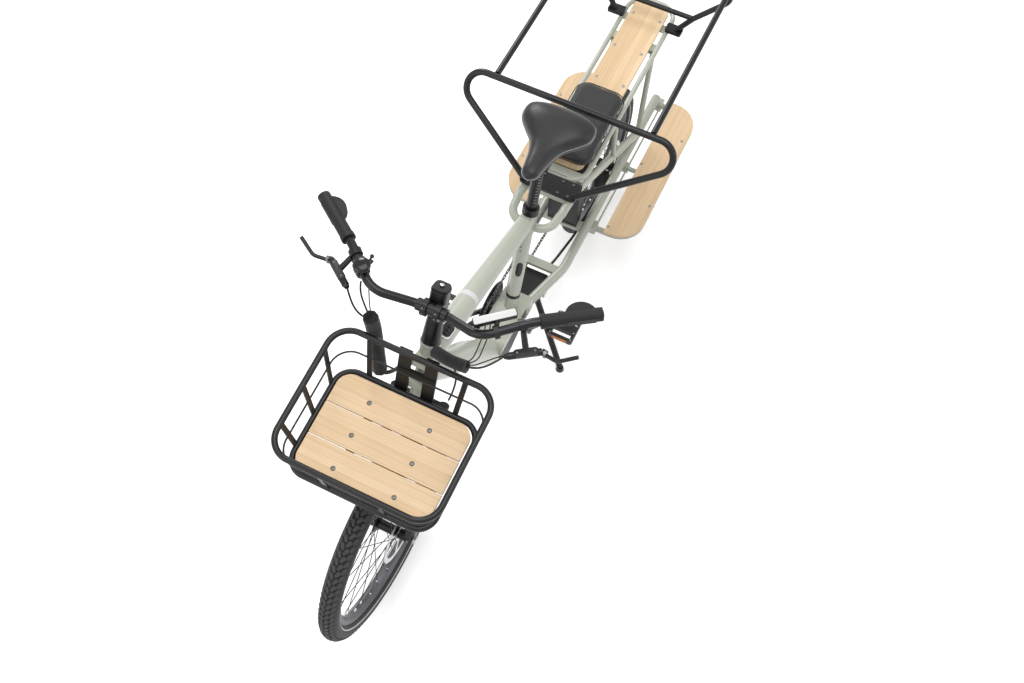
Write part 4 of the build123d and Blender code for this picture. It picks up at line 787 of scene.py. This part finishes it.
# %% The saddle and its piping
ALONG_SADDLE, ROUND_SADDLE = 72, 64
closer_at_ends = (1 - np.cos(np.linspace(0, np.pi, ALONG_SADDLE))) / 2
spread_x = SADDLE_REAR + (SADDLE_NOSE - SADDLE_REAR) * closer_at_ends
around = np.linspace(0, 2 * np.pi, ROUND_SADDLE, endpoint=False)
saddle_grid = saddle_points(*np.meshgrid(spread_x, around, indexing="ij"))
saddle_form = (saddle_grid.reshape(-1, 3), grid_faces(ALONG_SADDLE, ROUND_SADDLE))
saddle = add_piece("saddle_shell", saddle_form, SADDLE_COVER, "frame_body", ["saddle"], 80)

left_edge, right_edge = np.radians(7), np.radians(173)
there = saddle_points(spread_x[1:-1], left_edge)
back = saddle_points(spread_x[1:-1][::-1], right_edge)
nose, rear = saddle_points(SADDLE_NOSE, left_edge), saddle_points(SADDLE_REAR, left_edge)
edge_line = np.vstack([there, nose, back, rear])
add_piece("saddle_piping", tube(edge_line, 0.0013, 8, True), PIPING, "frame_body", (), 80)


# %% Cloth that swells
CLOTH_STEPS = 20
CUSHION_LOW, CUSHION_HIGH = np.array(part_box("cushion"))
CUSHION_MIDDLE, CUSHION_SIZE = (CUSHION_LOW + CUSHION_HIGH) / 2, CUSHION_HIGH - CUSHION_LOW


def coordinates(mesh):
    """The mesh's points as rows of (x, y, z)."""
    flat = np.empty(len(mesh.vertices) * 3)
    mesh.vertices.foreach_get("co", flat)
    return flat.reshape(-1, 3)


def settled(thing):
    """The object's mesh with its modifiers applied, as a new mesh."""
    graph = bpy.context.evaluated_depsgraph_get()
    return bpy.data.meshes.new_from_object(thing.evaluated_get(graph))


def blown_up(name, shape, voxel, pressure, cap, low, high):
    """A block remeshed and inflated as cloth, each point moved by cap at most and kept in a box."""
    rough = mesh_object(name + "_block", shape)
    remesh = rough.modifiers.new("remesh", "REMESH")
    remesh.mode, remesh.voxel_size = "VOXEL", voxel
    pad = bpy.data.objects.new(name, settled(rough))
    bpy.context.scene.collection.objects.link(pad)
    bpy.data.objects.remove(rough)
    start = coordinates(pad.data)
    cloth = pad.modifiers.new("cloth", "CLOTH")
    cloth.settings.use_pressure = True
    cloth.settings.uniform_pressure_force = pressure
    cloth.settings.effector_weights.gravity = 0
    for step in range(CLOTH_STEPS):
        bpy.context.scene.frame_set(step + 1)
    swollen = coordinates(settled(pad))
    pad.modifiers.clear()
    bpy.context.scene.frame_set(1)
    move = swollen - start
    reach = np.linalg.norm(move, axis=1, keepdims=True)
    start = start + move * np.minimum(1, cap / np.maximum(reach, 1e-9))
    print(name, "swells by up to", round(float(np.minimum(reach, cap).max()) * 1000, 1), "mm")
    pad.data.vertices.foreach_set("co", np.clip(start, low, high).ravel())
    pad.data.shade_smooth()
    finer = pad.modifiers.new("finer", "SUBSURF")
    finer.levels = finer.render_levels = 1
    return pad


# %% The cushion's pad and seam
SWELLING_ROOM = 0.005
pad_outline = rounded(*(CUSHION_SIZE[:2] - 2 * SWELLING_ROOM), 0.04, 8)
pad_block = stack(pad_outline, [(0.0, 0.97), (0.005, 1), (0.02, 1), (0.0275, 0.965)])
pad_place = [*CUSHION_MIDDLE[:2], CUSHION_LOW[2] + 0.0005]
room_low, room_high = CUSHION_LOW + 0.0003, CUSHION_HIGH - 0.0003
pad_shape = copies(pad_block, pad_place)
cushion_pad = blown_up("cushion_pad", pad_shape, 0.005, 4, 0.006, room_low, room_high)
dress(cushion_pad, CUSHION_COVER, "frame_body", ["cushion"])
seam_outline = rounded(*(CUSHION_SIZE[:2] - 0.007), 0.041, 10)
seam_line = np.column_stack([seam_outline, np.full(len(seam_outline), 0.0135)]) + pad_place
seam = tube(seam_line, 0.0015, 8, True)
add_piece("cushion_seam", seam, CUSHION_COVER, "frame_body", (), 80)


# %% [markdown]
# ## The cockpit
#
# The rubber of each grip is ribbed round the hand, and its relief is finer than a mesh need carry,
# so it is in the finish. The display has a pale top shell over a dark body, each brake lever a
# fluid tank under a screwed lid, the bell a turned cap with a thumb striker, and steel bolts hold
# the stem's bands and its lid. All of these are turned or moulded forms. They could be pulled out of
# cubes by hand, but an outline stacked at a few heights keeps its sizes in sight, and what is on
# both sides is made once and mirrored.


# %% Grips and display
def ribbed_rubber():
    """Grip rubber with fine ribs across the hand, 5.2 mm apart along the grip.

    Both grips run outwards and back, 0.577 m back for each 0.816 m outwards."""
    made = Finish("ribbed_rubber", base_color=(0.012, 0.012, 0.013), specular_ior_level=0.28)
    along = made.axis("Y").do("ABSOLUTE") * 0.816 - made.axis("X") * 0.577
    ribs = (along * (2 * np.pi / 0.0052)).do("SINE") * 0.5 + 0.5
    made.set(roughness=made.noise(90, 2) * 0.12 + 0.5)
    made.bump(ribs * 0.8 + made.noise(1100, 2) * 0.2, 0.0009, 0.7)
    return made.material


NODES["grips"].data.materials[0] = ribbed_rubber()

BAR_SHOULDER, BAR_ELBOW = at(1.1484, 0.140, 1.0583), at(1.0674, 0.233, 1.0683)
BAR_END = at(0.9754, 0.363, 1.0633)
BAR_RISE = unit(BAR_ELBOW - BAR_SHOULDER)
SCREEN_ALONG = unit(BAR_RISE * [1, 1, 0])
SCREEN_TOP = at(1.0977, 0.154, 1.0826)
DARK_STEEL = brushed_steel("dark_steel", 0.2, 0.32)
SHELL_WHITE = moulded_plastic("pale_shell", 0.6, 0.35, 0.98)
GLOSS_BLACK = moulded_plastic("gloss_black", 0.008, 0.14)
screen_shell = stack(rounded(0.100, 0.0185, 0.004), [(-0.0012, 1), (0.0009, 1), (0.0016, 0.96)])
shell = copies(screen_shell, SCREEN_TOP, UP, SCREEN_ALONG)
add_piece("display_shell", shell, SHELL_WHITE, "steering_body")
SCREEN_AHEAD = np.cross(SCREEN_ALONG, UP)
button_place = SCREEN_TOP - UP * 0.0075 - SCREEN_AHEAD * 0.0098
buttons = [button_place + SCREEN_ALONG * step for step in (-0.03, 0, 0.03)]
key = stack(rounded(0.02, 0.007, 0.003), [(-0.001, 1), (0.0008, 1), (0.0012, 0.9)])
keys = copies(key, buttons, -SCREEN_AHEAD, SCREEN_ALONG)
add_piece("display_keys", keys, GLOSS_BLACK, "steering_body")


# %% Brake lever details
BAR_OUT = unit(BAR_END - BAR_ELBOW)
BAR_AHEAD = unit(np.cross(BAR_OUT, UP))
LEVER_CLAMP = BAR_ELBOW - BAR_RISE * 0.022
LEVER_PIVOT = LEVER_CLAMP + BAR_OUT * 0.042 + BAR_AHEAD * 0.059 - UP * 0.044
tank_place = LEVER_PIVOT - BAR_OUT * 0.042 - BAR_AHEAD * 0.008 + UP * 0.006
tank_rows = [(-0.006, 1), (0.004, 1), (0.0052, 0.97), (0.0056, 0.97), (0.0068, 0.9)]
tank = copies(stack(rounded(0.058, 0.019, 0.007), tank_rows), tank_place, UP, BAR_OUT)
lid_screws = [tank_place + BAR_OUT * step + UP * 0.0068 for step in (-0.021, 0.021)]
lids = copies(button_head(0.0026, 0.0014), lid_screws)
pin_rows = [(-0.0105, 0.0042), (-0.0095, 0.005), (0.0095, 0.005), (0.0105, 0.0042)]
pivot_pin = copies(stack(circle(16), pin_rows), LEVER_PIVOT)
plug_rows = [(-0.002, 0.0118), (0.0012, 0.0118), (0.0026, 0.009)]
grip_plug = copies(stack(circle(24), plug_rows), BAR_END + BAR_OUT * 0.004, BAR_OUT)
add_piece("lever_tanks", mirrored(tank), PLASTIC, "steering_body")
add_piece("lever_lid_screws", mirrored(lids), DARK_STEEL, "steering_body")
add_piece("lever_pivots", mirrored(pivot_pin), DARK_STEEL, "steering_body")
add_piece("grip_plugs", mirrored(grip_plug), GLOSS_BLACK, "steering_body")


# %% Bell
def mirror_place(place):
    """The same place on the other side of the bicycle."""
    return np.asarray(place) * [1, -1, 1]


BELL_PLACE = mirror_place(BAR_ELBOW - BAR_RISE * 0.072) + UP * 0.0171
dome_rows = [(0.0078, 0.0201), (0.0105, 0.0205), (0.013, 0.0192)]
crown_rows = [(0.0152, 0.0152), (0.0166, 0.0085), (0.017, 0.002)]
lip_rows = [(0.0045, 0.0196), (0.005, 0.0207), (0.0065, 0.0207), (0.007, 0.0196)]
bell = joined(stack(circle(40), dome_rows + crown_rows), stack(circle(40), lip_rows))
add_piece("bell_cap", copies(bell, BELL_PLACE), GLOSS_BLACK, "steering_body", (), 50)
striker_path = BELL_PLACE + [(-0.012, 0.006, 0.003), (-0.022, 0.009, 0.006), (-0.029, 0.011, 0.012)]
knob_rows = [(-0.004, 0.003), (-0.002, 0.005), (0.002, 0.005), (0.004, 0.003)]
striker_knob = copies(stack(circle(12), knob_rows), striker_path[-1])
striker = joined(tube(striker_path, 0.0026, 8), striker_knob)
add_piece("bell_striker", striker, PLASTIC, "steering_body")

# %% Lid bolt, clamp bolts and collar
BRIGHT_STEEL = brushed_steel("bright_steel", 0.7, 0.22)
DARK_BOLT = brushed_steel("dark_bolt", 0.13, 0.35)
STEER_AHEAD = np.cross(LEFT, STEER_UP)
LID_LOW, LID_HIGH = (np.array(corner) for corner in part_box("stem_cap"))
LID_ABOVE_JOINT, COLLAR_ABOVE_JOINT = 0.4153, 0.341
lid_top = STEER_PLACE + STEER_UP * LID_ABOVE_JOINT
print("lid bolt within the lid's box", bool(np.all((LID_LOW < lid_top) & (lid_top < LID_HIGH))))
lid_bolt = copies(button_head(0.0056, 0.0016), lid_top, STEER_UP, LEFT)
add_piece("lid_bolt", lid_bolt, BRIGHT_STEEL, "steering_body")
BAR_MIDDLE = at(1.1144, 0, 1.0183)
band_bolts = [
    BAR_MIDDLE + LEFT * side + STEER_AHEAD * 0.0217 + STEER_UP * lift
    for side in (-0.017, 0.017)
    for lift in (-0.0075, 0.0075)
]
bolt_shape = copies(button_head(0.0036, 0.0022), band_bolts, STEER_AHEAD, LEFT)
add_piece("band_bolts", bolt_shape, DARK_BOLT, "steering_body")
collar_rows = [(-0.004, 0.0208), (-0.003, 0.0222), (0.003, 0.0222), (0.004, 0.0208)]
collar_place = STEER_PLACE + STEER_UP * COLLAR_ABOVE_JOINT
collar = copies(stack(circle(32), collar_rows), collar_place, STEER_UP, LEFT)
add_piece("column_collar", collar, GLOSS_BLACK, "steering_body")

# %% [markdown]
# ## Pedals and chain
#
# The pedals have grip pins top and bottom and an amber reflector at each end, as road rules ask. A
# bicycle chain repeats every half inch: a roller on a pin, with inner and outer plates by turns. It
# could be one link and an Array modifier on a curve, but an array stretches the last link. Here the
# path is the same loop as the solid's, round the chainring, the sprocket and the two small wheels
# of the derailleur, and each link is set on that path at its own pitch.

# %% Pedals
AMBER = moulded_plastic("amber_reflector", 0.1, 0.2)
amber_shader = AMBER.node_tree.nodes["Principled BSDF"]
amber_shader.inputs["Base Color"].default_value = (0.62, 0.16, 0.02, 1)
for side in ("left", "right"):
    low, high = (np.array(corner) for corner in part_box("pedal_" + side))
    middle, size = (low + high) / 2, high - low
    lens = stack(rounded(*(size[1:] * 0.6), 0.003), [(-0.001, 1), (0.0012, 1), (0.0018, 0.94)])
    ends = [middle + AHEAD * way * size[0] / 2 for way in (-1, 1)]
    lenses = copies(lens, ends, np.array([-AHEAD, AHEAD]), LEFT)
    body = side + "_pedal_body"
    add_piece(side + "_pedal_reflectors", lenses, AMBER, body)
    pin = stack(circle(8), [(-0.001, 0.0021), (0.0022, 0.0021), (0.0026, 0.0015)])
    shares = [(x, y) for x in (-0.44, -0.15, 0.15, 0.44) for y in (-0.42, 0.42)]
    reach = np.array(shares) * size[:2]
    below, top = (np.column_stack([reach, np.full(8, way * size[2] / 2)]) for way in (-1, 1))
    pin_places = np.vstack([below, top]) + middle
    pins = copies(pin, pin_places, np.repeat([-UP, UP], 8, axis=0), AHEAD)
    add_piece(side + "_pedal_pins", pins, BRIGHT_STEEL, body)


# %% The chain's path
def chain_path(wheels):
    """Points along a chain round wheels of (x, z, radius, turn), turn -1 where it runs clockwise."""
    starts, ends = [], []
    for (x1, z1, r1, turn1), (x2, z2, r2, turn2) in zip(wheels, wheels[1:] + wheels[:1]):
        lean = np.arcsin((turn1 * r1 - turn2 * r2) / np.hypot(x2 - x1, z2 - z1))
        along = np.arctan2(z2 - z1, x2 - x1) + lean
        normal = np.array([np.sin(along), -np.cos(along)])
        starts.append(np.array([x1, z1]) + turn1 * r1 * normal)
        ends.append(np.array([x2, z2]) + turn2 * r2 * normal)
    rows = []
    for k, (x, z, radius, turn) in enumerate(wheels):
        first, last = ends[k - 1] - [x, z], starts[k] - [x, z]
        begin = np.arctan2(first[1], first[0])
        wrap = turn * (np.arctan2(last[1], last[0]) - begin) % (2 * np.pi)
        angle = begin + turn * np.linspace(0, wrap, 60)
        rows.append(np.array([x, z]) + radius * np.stack([np.cos(angle), np.sin(angle)], axis=1))
        rows.append(np.linspace(starts[k], ends[k], 60)[1:-1])
    return np.vstack(rows)


CHAIN_PITCH, CHAIN_SIDE = 0.0127, -0.058
CHAINRING, SPROCKET, JOCKEY = 0.077, 0.042, 0.022
chain_wheels = [
    (CRANK_CENTRE[0], CRANK_CENTRE[2], CHAINRING, -1),
    (REAR_AXLE[0] - 0.022, 0.150, JOCKEY, -1),
    (REAR_AXLE[0] + 0.010, 0.190, JOCKEY, 1),
    (REAR_AXLE[0], REAR_AXLE[2], SPROCKET, -1),
]
loop = chain_path(chain_wheels)
loop = np.vstack([loop, loop[:1]])
length = np.concatenate([[0], np.cumsum(np.hypot(*np.diff(loop, axis=0).T))])
LINKS = 2 * int(round(length[-1] / CHAIN_PITCH / 2))
print(LINKS, "links")

# %% Links and rollers
pin_at = np.linspace(0, length[-1], LINKS + 1)
pins = np.stack([np.interp(pin_at, length, loop[:, k]) for k in (0, 1)], axis=1)
pins = np.column_stack([pins[:, 0], np.full(LINKS + 1, CHAIN_SIDE), pins[:, 1]])
link_middle, link_along = (pins[1:] + pins[:-1]) / 2, pins[1:] - pins[:-1]
plate = stack(rounded(CHAIN_PITCH + 0.0076, 0.0082, 0.004, 3), [(-0.0005, 1), (0.0005, 1)])
plates = []
for first, reach in ((0, 0.0017), (1, 0.0029)):
    for way in (-1, 1):
        places = link_middle[first::2] + LEFT * way * reach
        plates.append(copies(plate, places, LEFT, link_along[first::2]))
roller = stack(circle(10), [(-0.0014, 0.0037), (0.0014, 0.0037)])
rivet = stack(circle(8), [(-0.0035, 0.0014), (-0.0032, 0.0018), (0.0032, 0.0018), (0.0035, 0.0014)])
rollers = copies(joined(roller, rivet), pins[:-1], LEFT, AHEAD)
CHAIN_STEEL = brushed_steel("chain_steel", 0.14, 0.34)
add_piece("roller_chain", joined(*plates, rollers), CHAIN_STEEL, "frame_body", ["chain"])

# %% [markdown]
# ## Cables, hoses and sleeves
#
# Brake hoses and electric wires leave the bar, are gathered in two black textile sleeves, and enter
# the frame. The sleeves stay with the frame, and each hose above them is drawn from the steering's
# place to the frame's and rides on neither body. Each is a spline between two ends that is drawn
# towards a few given places, as thick as the real hose. A rope simulation would sag them too, but
# hoses this short are stiff, and a spline keeps the arc that the hose was bent to.


# %% A hose
def hose(name, places, radius, material, body=None, bend=None):
    """A round hose along a spline. It rides on a body, or on none when bend is given.

    The spline cuts the corners between its places, so it is a little shorter than what is printed.
    Given bend, the hose rides on no body and stays where it is drawn; the two places in bend are not
    used."""
    curve = bpy.data.curves.new(name, "CURVE")
    curve.dimensions, curve.resolution_u = "3D", 8
    curve.bevel_depth, curve.bevel_resolution = radius, 2
    curve.use_fill_caps = True
    spline = curve.splines.new("NURBS")
    spline.points.add(len(places) - 1)
    spline.points.foreach_set("co", np.column_stack([places, np.ones(len(places))]).ravel())
    spline.order_u = 3
    spline.use_endpoint_u = True
    guide = bpy.data.objects.new(name + "_guide", curve)
    bpy.context.scene.collection.objects.link(guide)
    bpy.context.view_layer.update()
    piece = bpy.data.objects.new(name, settled(guide))
    bpy.data.objects.remove(guide)
    bpy.context.scene.collection.objects.link(piece)
    piece.data.materials.clear()
    piece.data.materials.append(material)
    piece.data.shade_smooth()
    if bend is None:
        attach(piece, body)
    else:
        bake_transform(piece)
    steps = np.diff(np.array(places), axis=0)
    print(name, round(float(np.linalg.norm(steps, axis=1).sum()), 3), "m from place to place")
    return piece


# %% Sleeves
def textile_sleeve():
    """Black woven sleeve: a fine pattern of cells for the weave, and a soft, dull nap."""
    made = Finish("textile_sleeve", specular_ior_level=0.2, sheen_weight=0.25)
    lint = made.noise(60, 4)
    made.set(base_color=made.mix(lint, (0.008, 0.008, 0.008), (0.02, 0.02, 0.02)))
    made.set(roughness=made.noise(300, 2) * 0.1 + 0.82)
    made.bump(made.cells(1400), 0.0003, 0.6)
    return made.material


SLEEVE = textile_sleeve()
CABLE = moulded_plastic("cable_jacket", 0.012, 0.34)
RIGHT_LOW = at(1.186, -0.130, 0.715)
right_sleeve = [
    at(1.168, -0.141, 0.955), at(1.163, -0.141, 0.905),
    at(1.168, -0.139, 0.840), at(1.178, -0.134, 0.780), RIGHT_LOW,
]
hose("right_sleeve", right_sleeve, 0.0195, SLEEVE, "frame_body")
LEFT_IN = at(1.170, 0.033, 0.931)
left_sleeve = [at(1.187, 0.125, 0.962), at(1.186, 0.096, 0.953), at(1.180, 0.062, 0.943), LEFT_IN]
hose("left_sleeve", left_sleeve, 0.0165, SLEEVE, "frame_body")


# %% Hoses and wires from the bar
BRAKE_HOSE, SHIFT_CABLE, WIRE = 0.0026, 0.0025, 0.0016


def from_bar(name, radius, *places):
    """A hose that starts on the bar and ends in a sleeve, in metres as at() takes them."""
    places = [at(*place) for place in places]
    return hose(name, places, radius, CABLE, bend=(places[0], places[-1]))


LEVER_END = (1.153, 0.204, 1.024)
INTO_LEFT, INTO_LEFT_WIRE = (1.186, 0.115, 0.960), (1.184, 0.115, 0.962)
from_bar(
    "left_brake_hose", BRAKE_HOSE,
    LEVER_END, (1.164, 0.193, 1.012), (1.180, 0.168, 0.986), (1.188, 0.138, 0.967), INTO_LEFT,
)
from_bar(
    "left_switch_wire", WIRE,
    (1.140, 0.214, 1.020), (1.150, 0.196, 1.016), (1.170, 0.162, 0.990), (1.183, 0.138, 0.970),
    INTO_LEFT_WIRE,
)
for letter, y in (("a", 0.146), ("b", 0.134)):
    from_bar(
        "screen_wire_" + letter, WIRE,
        (1.104, y, 1.068), (1.110, y + 0.004, 1.040), (1.146, y + 0.002, 1.002),
        (1.172, y - 0.002, 0.974), INTO_LEFT_WIRE,
    )
from_bar(
    "right_brake_hose", BRAKE_HOSE,
    mirror_place(LEVER_END), (1.162, -0.196, 1.010), (1.178, -0.176, 0.988), (1.180, -0.154, 0.966),
    (1.170, -0.142, 0.948),
)
from_bar(
    "shifter_cable", SHIFT_CABLE,
    (1.122, -0.185, 1.022), (1.140, -0.180, 1.010), (1.158, -0.160, 0.985), (1.168, -0.142, 0.948),
)
from_bar(
    "right_switch_wire", WIRE,
    (1.104, -0.176, 1.030), (1.130, -0.160, 1.014), (1.155, -0.148, 0.984), (1.166, -0.140, 0.948),
)

# %% Hoses to the frame, the fork and the rear
frame_hose = [
    RIGHT_LOW + UP * 0.012, at(1.184, -0.128, 0.694), at(1.172, -0.104, 0.700),
    at(1.156, -0.062, 0.770), at(1.150, -0.040, 0.812), at(1.148, -0.020, 0.826),
]
hose("frame_entry_hose", frame_hose, 0.0055, CABLE, "frame_body")
fork_hose = [
    LEFT_IN, at(1.158, 0.050, 0.912), at(1.160, 0.082, 0.860),
    at(1.182, 0.088, 0.805), at(1.205, 0.080, 0.768),
]
hose("fork_hose", fork_hose, BRAKE_HOSE, CABLE, bend=(fork_hose[-1], fork_hose[0]))
rear_cable = [
    at(0.470, 0.030, 0.283), at(0.452, 0.036, 0.279), at(0.385, 0.046, 0.279),
    at(0.290, 0.058, 0.274), at(0.155, 0.056, 0.268),
]
hose("rear_light_cable", rear_cable, 0.0045, CABLE, "frame_body")

# %% [markdown]
# ## Screws, bands and plates
#
# Domed socket screws hold the boards down and the rack plates on. They are one turned shape set
# down at many places, in metres, each along the way that its plate faces. The big tube carries a
# plain white band, the seat tube a blank oval plate and a black band, and the seatpost a ladder of
# height marks. A decal could be an image, but thin solids catch the light at their edges.

# %% Screws in boards, basket, rack and guard
SCREW_STEEL = brushed_steel("screw_steel", 0.34, 0.3)
FOOTBOARD_TOP, DECK_TOP = 0.277, 0.650
footboard_spots = (0.238, 0.142), (0.104, 0.231), (-0.042, 0.141), (-0.190, 0.226)
board_spots = [at(x, side * y, FOOTBOARD_TOP) for x, y in footboard_spots for side in (1, -1)]
board_spots += [at(x, side * 0.045, DECK_TOP) for x in (-0.300, -0.150, -0.009) for side in (1, -1)]
board_screws = copies(button_head(0.0048, 0.0024), board_spots)
add_piece("board_screws", board_screws, SCREW_STEEL, "frame_body")

BASKET_UP = unit(RECORD["mounts"][0]["axis"])
BASKET_FLOOR = np.array(RECORD["mounts"][0]["pos_m"])
BASKET_AHEAD = np.cross(LEFT, BASKET_UP)
basket_spots = [
    BASKET_FLOOR + BASKET_AHEAD * ahead + LEFT * side
    for ahead in (-0.083, 0.008, 0.099)
    for side in (-0.083, 0.083)
]
basket_screws = copies(button_head(0.0062, 0.0026), basket_spots, BASKET_UP)
add_piece("basket_screws", basket_screws, DARK_BOLT, "frame_body")

RACK_PLATE_TOP = 0.6545
rack_spots = [
    at(x, side * y, RACK_PLATE_TOP)
    for x in (0.397, 0.440)
    for y in (0.030, 0.062)
    for side in (1, -1)
]
rack_screws = copies(button_head(0.0052, 0.003), rack_spots)
add_piece("rack_screws", rack_screws, DARK_BOLT, "frame_body")
guard_screw = copies(button_head(0.0048, 0.0026), at(0.703, -0.0703, 0.350), -LEFT, UP)
add_piece("guard_screw", guard_screw, BRIGHT_STEEL, "crank_body")

# %% Bands, plates and marks
SEAT_LOW, SEAT_TOP = at(0.690, 0, 0.285), at(0.560, 0, 0.690)
SEAT_UP = unit(SEAT_TOP - SEAT_LOW)
SEAT_AHEAD = np.cross(LEFT, SEAT_UP)


def on_seat_tube(height):
    """The seat tube's middle at a height above the floor."""
    return SEAT_LOW + SEAT_UP * (height - SEAT_LOW[2]) / SEAT_UP[2]


band_rows = [(-0.006, 0.0199), (-0.005, 0.0214), (0.005, 0.0214), (0.006, 0.0199)]
black_band = copies(stack(circle(40), band_rows), on_seat_tube(0.388), SEAT_UP, LEFT)
add_piece("seat_tube_band", black_band, PLASTIC, "frame_body")


def wrapped(outline_width, outline_height, radius, lift, steps=17, across=9):
    """A thin oval plate bent round a tube of the given radius, its middle on the tube's own X axis.

    At a height of r half heights, it reaches (1 - 0.96 r^4)^0.5 of its half width to each side."""
    rows = np.linspace(-1, 1, steps)
    swing = outline_width / 2 / radius * np.sqrt(1 - rows**4 * 0.96)
    turn = swing[:, None] * np.linspace(-1, 1, across)
    height = np.broadcast_to(rows[:, None] * outline_height / 2, turn.shape)
    ring = np.stack([np.cos(turn), np.sin(turn)], axis=-1)
    outer = np.dstack([(radius + lift) * ring, height])
    inner = np.dstack([(radius - 0.0005) * ring, height])
    points = np.hstack([outer, inner[:, ::-1]])
    last = (steps - 1) * 2 * across
    ends = [list(range(2 * across)), list(range(last, last + 2 * across))]
    return points.reshape(-1, 3), grid_faces(steps, 2 * across) + ends


facing_left = unit(SEAT_AHEAD * 0.8 + LEFT * 0.35)
blank_plate = copies(wrapped(0.019, 0.055, 0.02, 0.0007), on_seat_tube(0.498), SEAT_UP, facing_left)
add_piece("blank_oval_plate", blank_plate, GLOSS_BLACK, "frame_body")
bolt_spots = [on_seat_tube(height) + SEAT_AHEAD * 0.0198 for height in (0.566, 0.580)]
seat_bolts = copies(button_head(0.0026, 0.0014), bolt_spots, SEAT_AHEAD, LEFT)
add_piece("seat_tube_bolts", seat_bolts, DARK_BOLT, "frame_body")

mark = stack(rounded(0.0052, 0.0009, 0.0003, 2), [(-0.0004, 1), (0.00025, 1)])
mark_out = unit(SEAT_AHEAD * 0.75 + LEFT * 0.66)
mark_places = [on_seat_tube(0.735 + 0.0095 * step) + mark_out * 0.0159 for step in range(13)]
MARK_WHITE = moulded_plastic("printed_white", 0.6, 0.5, 1.0)
marks = copies(mark, mark_places, mark_out, np.cross(SEAT_UP, mark_out))
add_piece("seatpost_marks", marks, MARK_WHITE, "frame_body")
print("seat tube leans", round(float(np.degrees(np.arccos(SEAT_UP[2]))), 1), "degrees")

# %% White band and cable port
MAIN_LOW_X = 0.576
MAIN_HIGH, MAIN_LOW = at(1.1508, 0, 0.8598), at(MAIN_LOW_X, 0, 0.676)
MAIN_ALONG = unit(MAIN_HIGH - MAIN_LOW)
MAIN_TOP = np.cross(MAIN_ALONG, LEFT)


def on_main_tube(x):
    """The big top tube's middle at x metres ahead of the rear axle."""
    return MAIN_LOW + MAIN_ALONG * (x - MAIN_LOW_X) / MAIN_ALONG[0]


def main_tube_radius(x):
    """The tube grows from 24 mm in radius at its low end by 8 mm over 518 mm."""
    return 0.024 + 0.008 * (x - MAIN_LOW_X) / 0.518


BAND_AT = 0.945
rear_radius, front_radius = main_tube_radius(BAND_AT), main_tube_radius(BAND_AT + 0.009)
white_rows = [(-0.009, rear_radius - 0.0006), (-0.0088, rear_radius + 0.0003)]
white_rows += [(0.0088, front_radius + 0.0003), (0.009, front_radius - 0.0006)]
white_band = copies(stack(circle(64), white_rows), on_main_tube(BAND_AT), MAIN_ALONG, LEFT)
add_piece("white_band", white_band, MARK_WHITE, "frame_body")

PORT_AT, PORT_LEAN = 1.085, np.radians(24)
port_out = MAIN_TOP * np.cos(PORT_LEAN) + LEFT * np.sin(PORT_LEAN)
port_place = on_main_tube(PORT_AT) + port_out * main_tube_radius(PORT_AT)
port_outline = rounded(0.058, 0.034, 0.0165, 7)
rim_rows = [(-0.006, 1), (0.001, 1), (0.0024, 0.95), (0.0026, 0.86), (-0.001, 0.78)]
port_rim = copies(stack(port_outline, rim_rows), port_place, port_out, MAIN_ALONG)
add_piece("cable_port_rim", port_rim, BRIGHT_STEEL, "frame_body")
plug_rows = [(-0.003, 0.8), (0.0012, 0.8), (0.002, 0.72)]
port_plug = copies(stack(port_outline, plug_rows), port_place, port_out, MAIN_ALONG)
boot_rows = [(-0.002, 0.0052), (0.001, 0.0052), (0.0026, 0.004)]
slots = [port_place + MAIN_ALONG * step + port_out * 0.002 for step in (-0.012, 0, 0.012)]
boots = copies(stack(circle(14), boot_rows), slots, port_out, MAIN_ALONG)
add_piece("cable_port_plug", joined(port_plug, boots), GLOSS_BLACK, "frame_body")
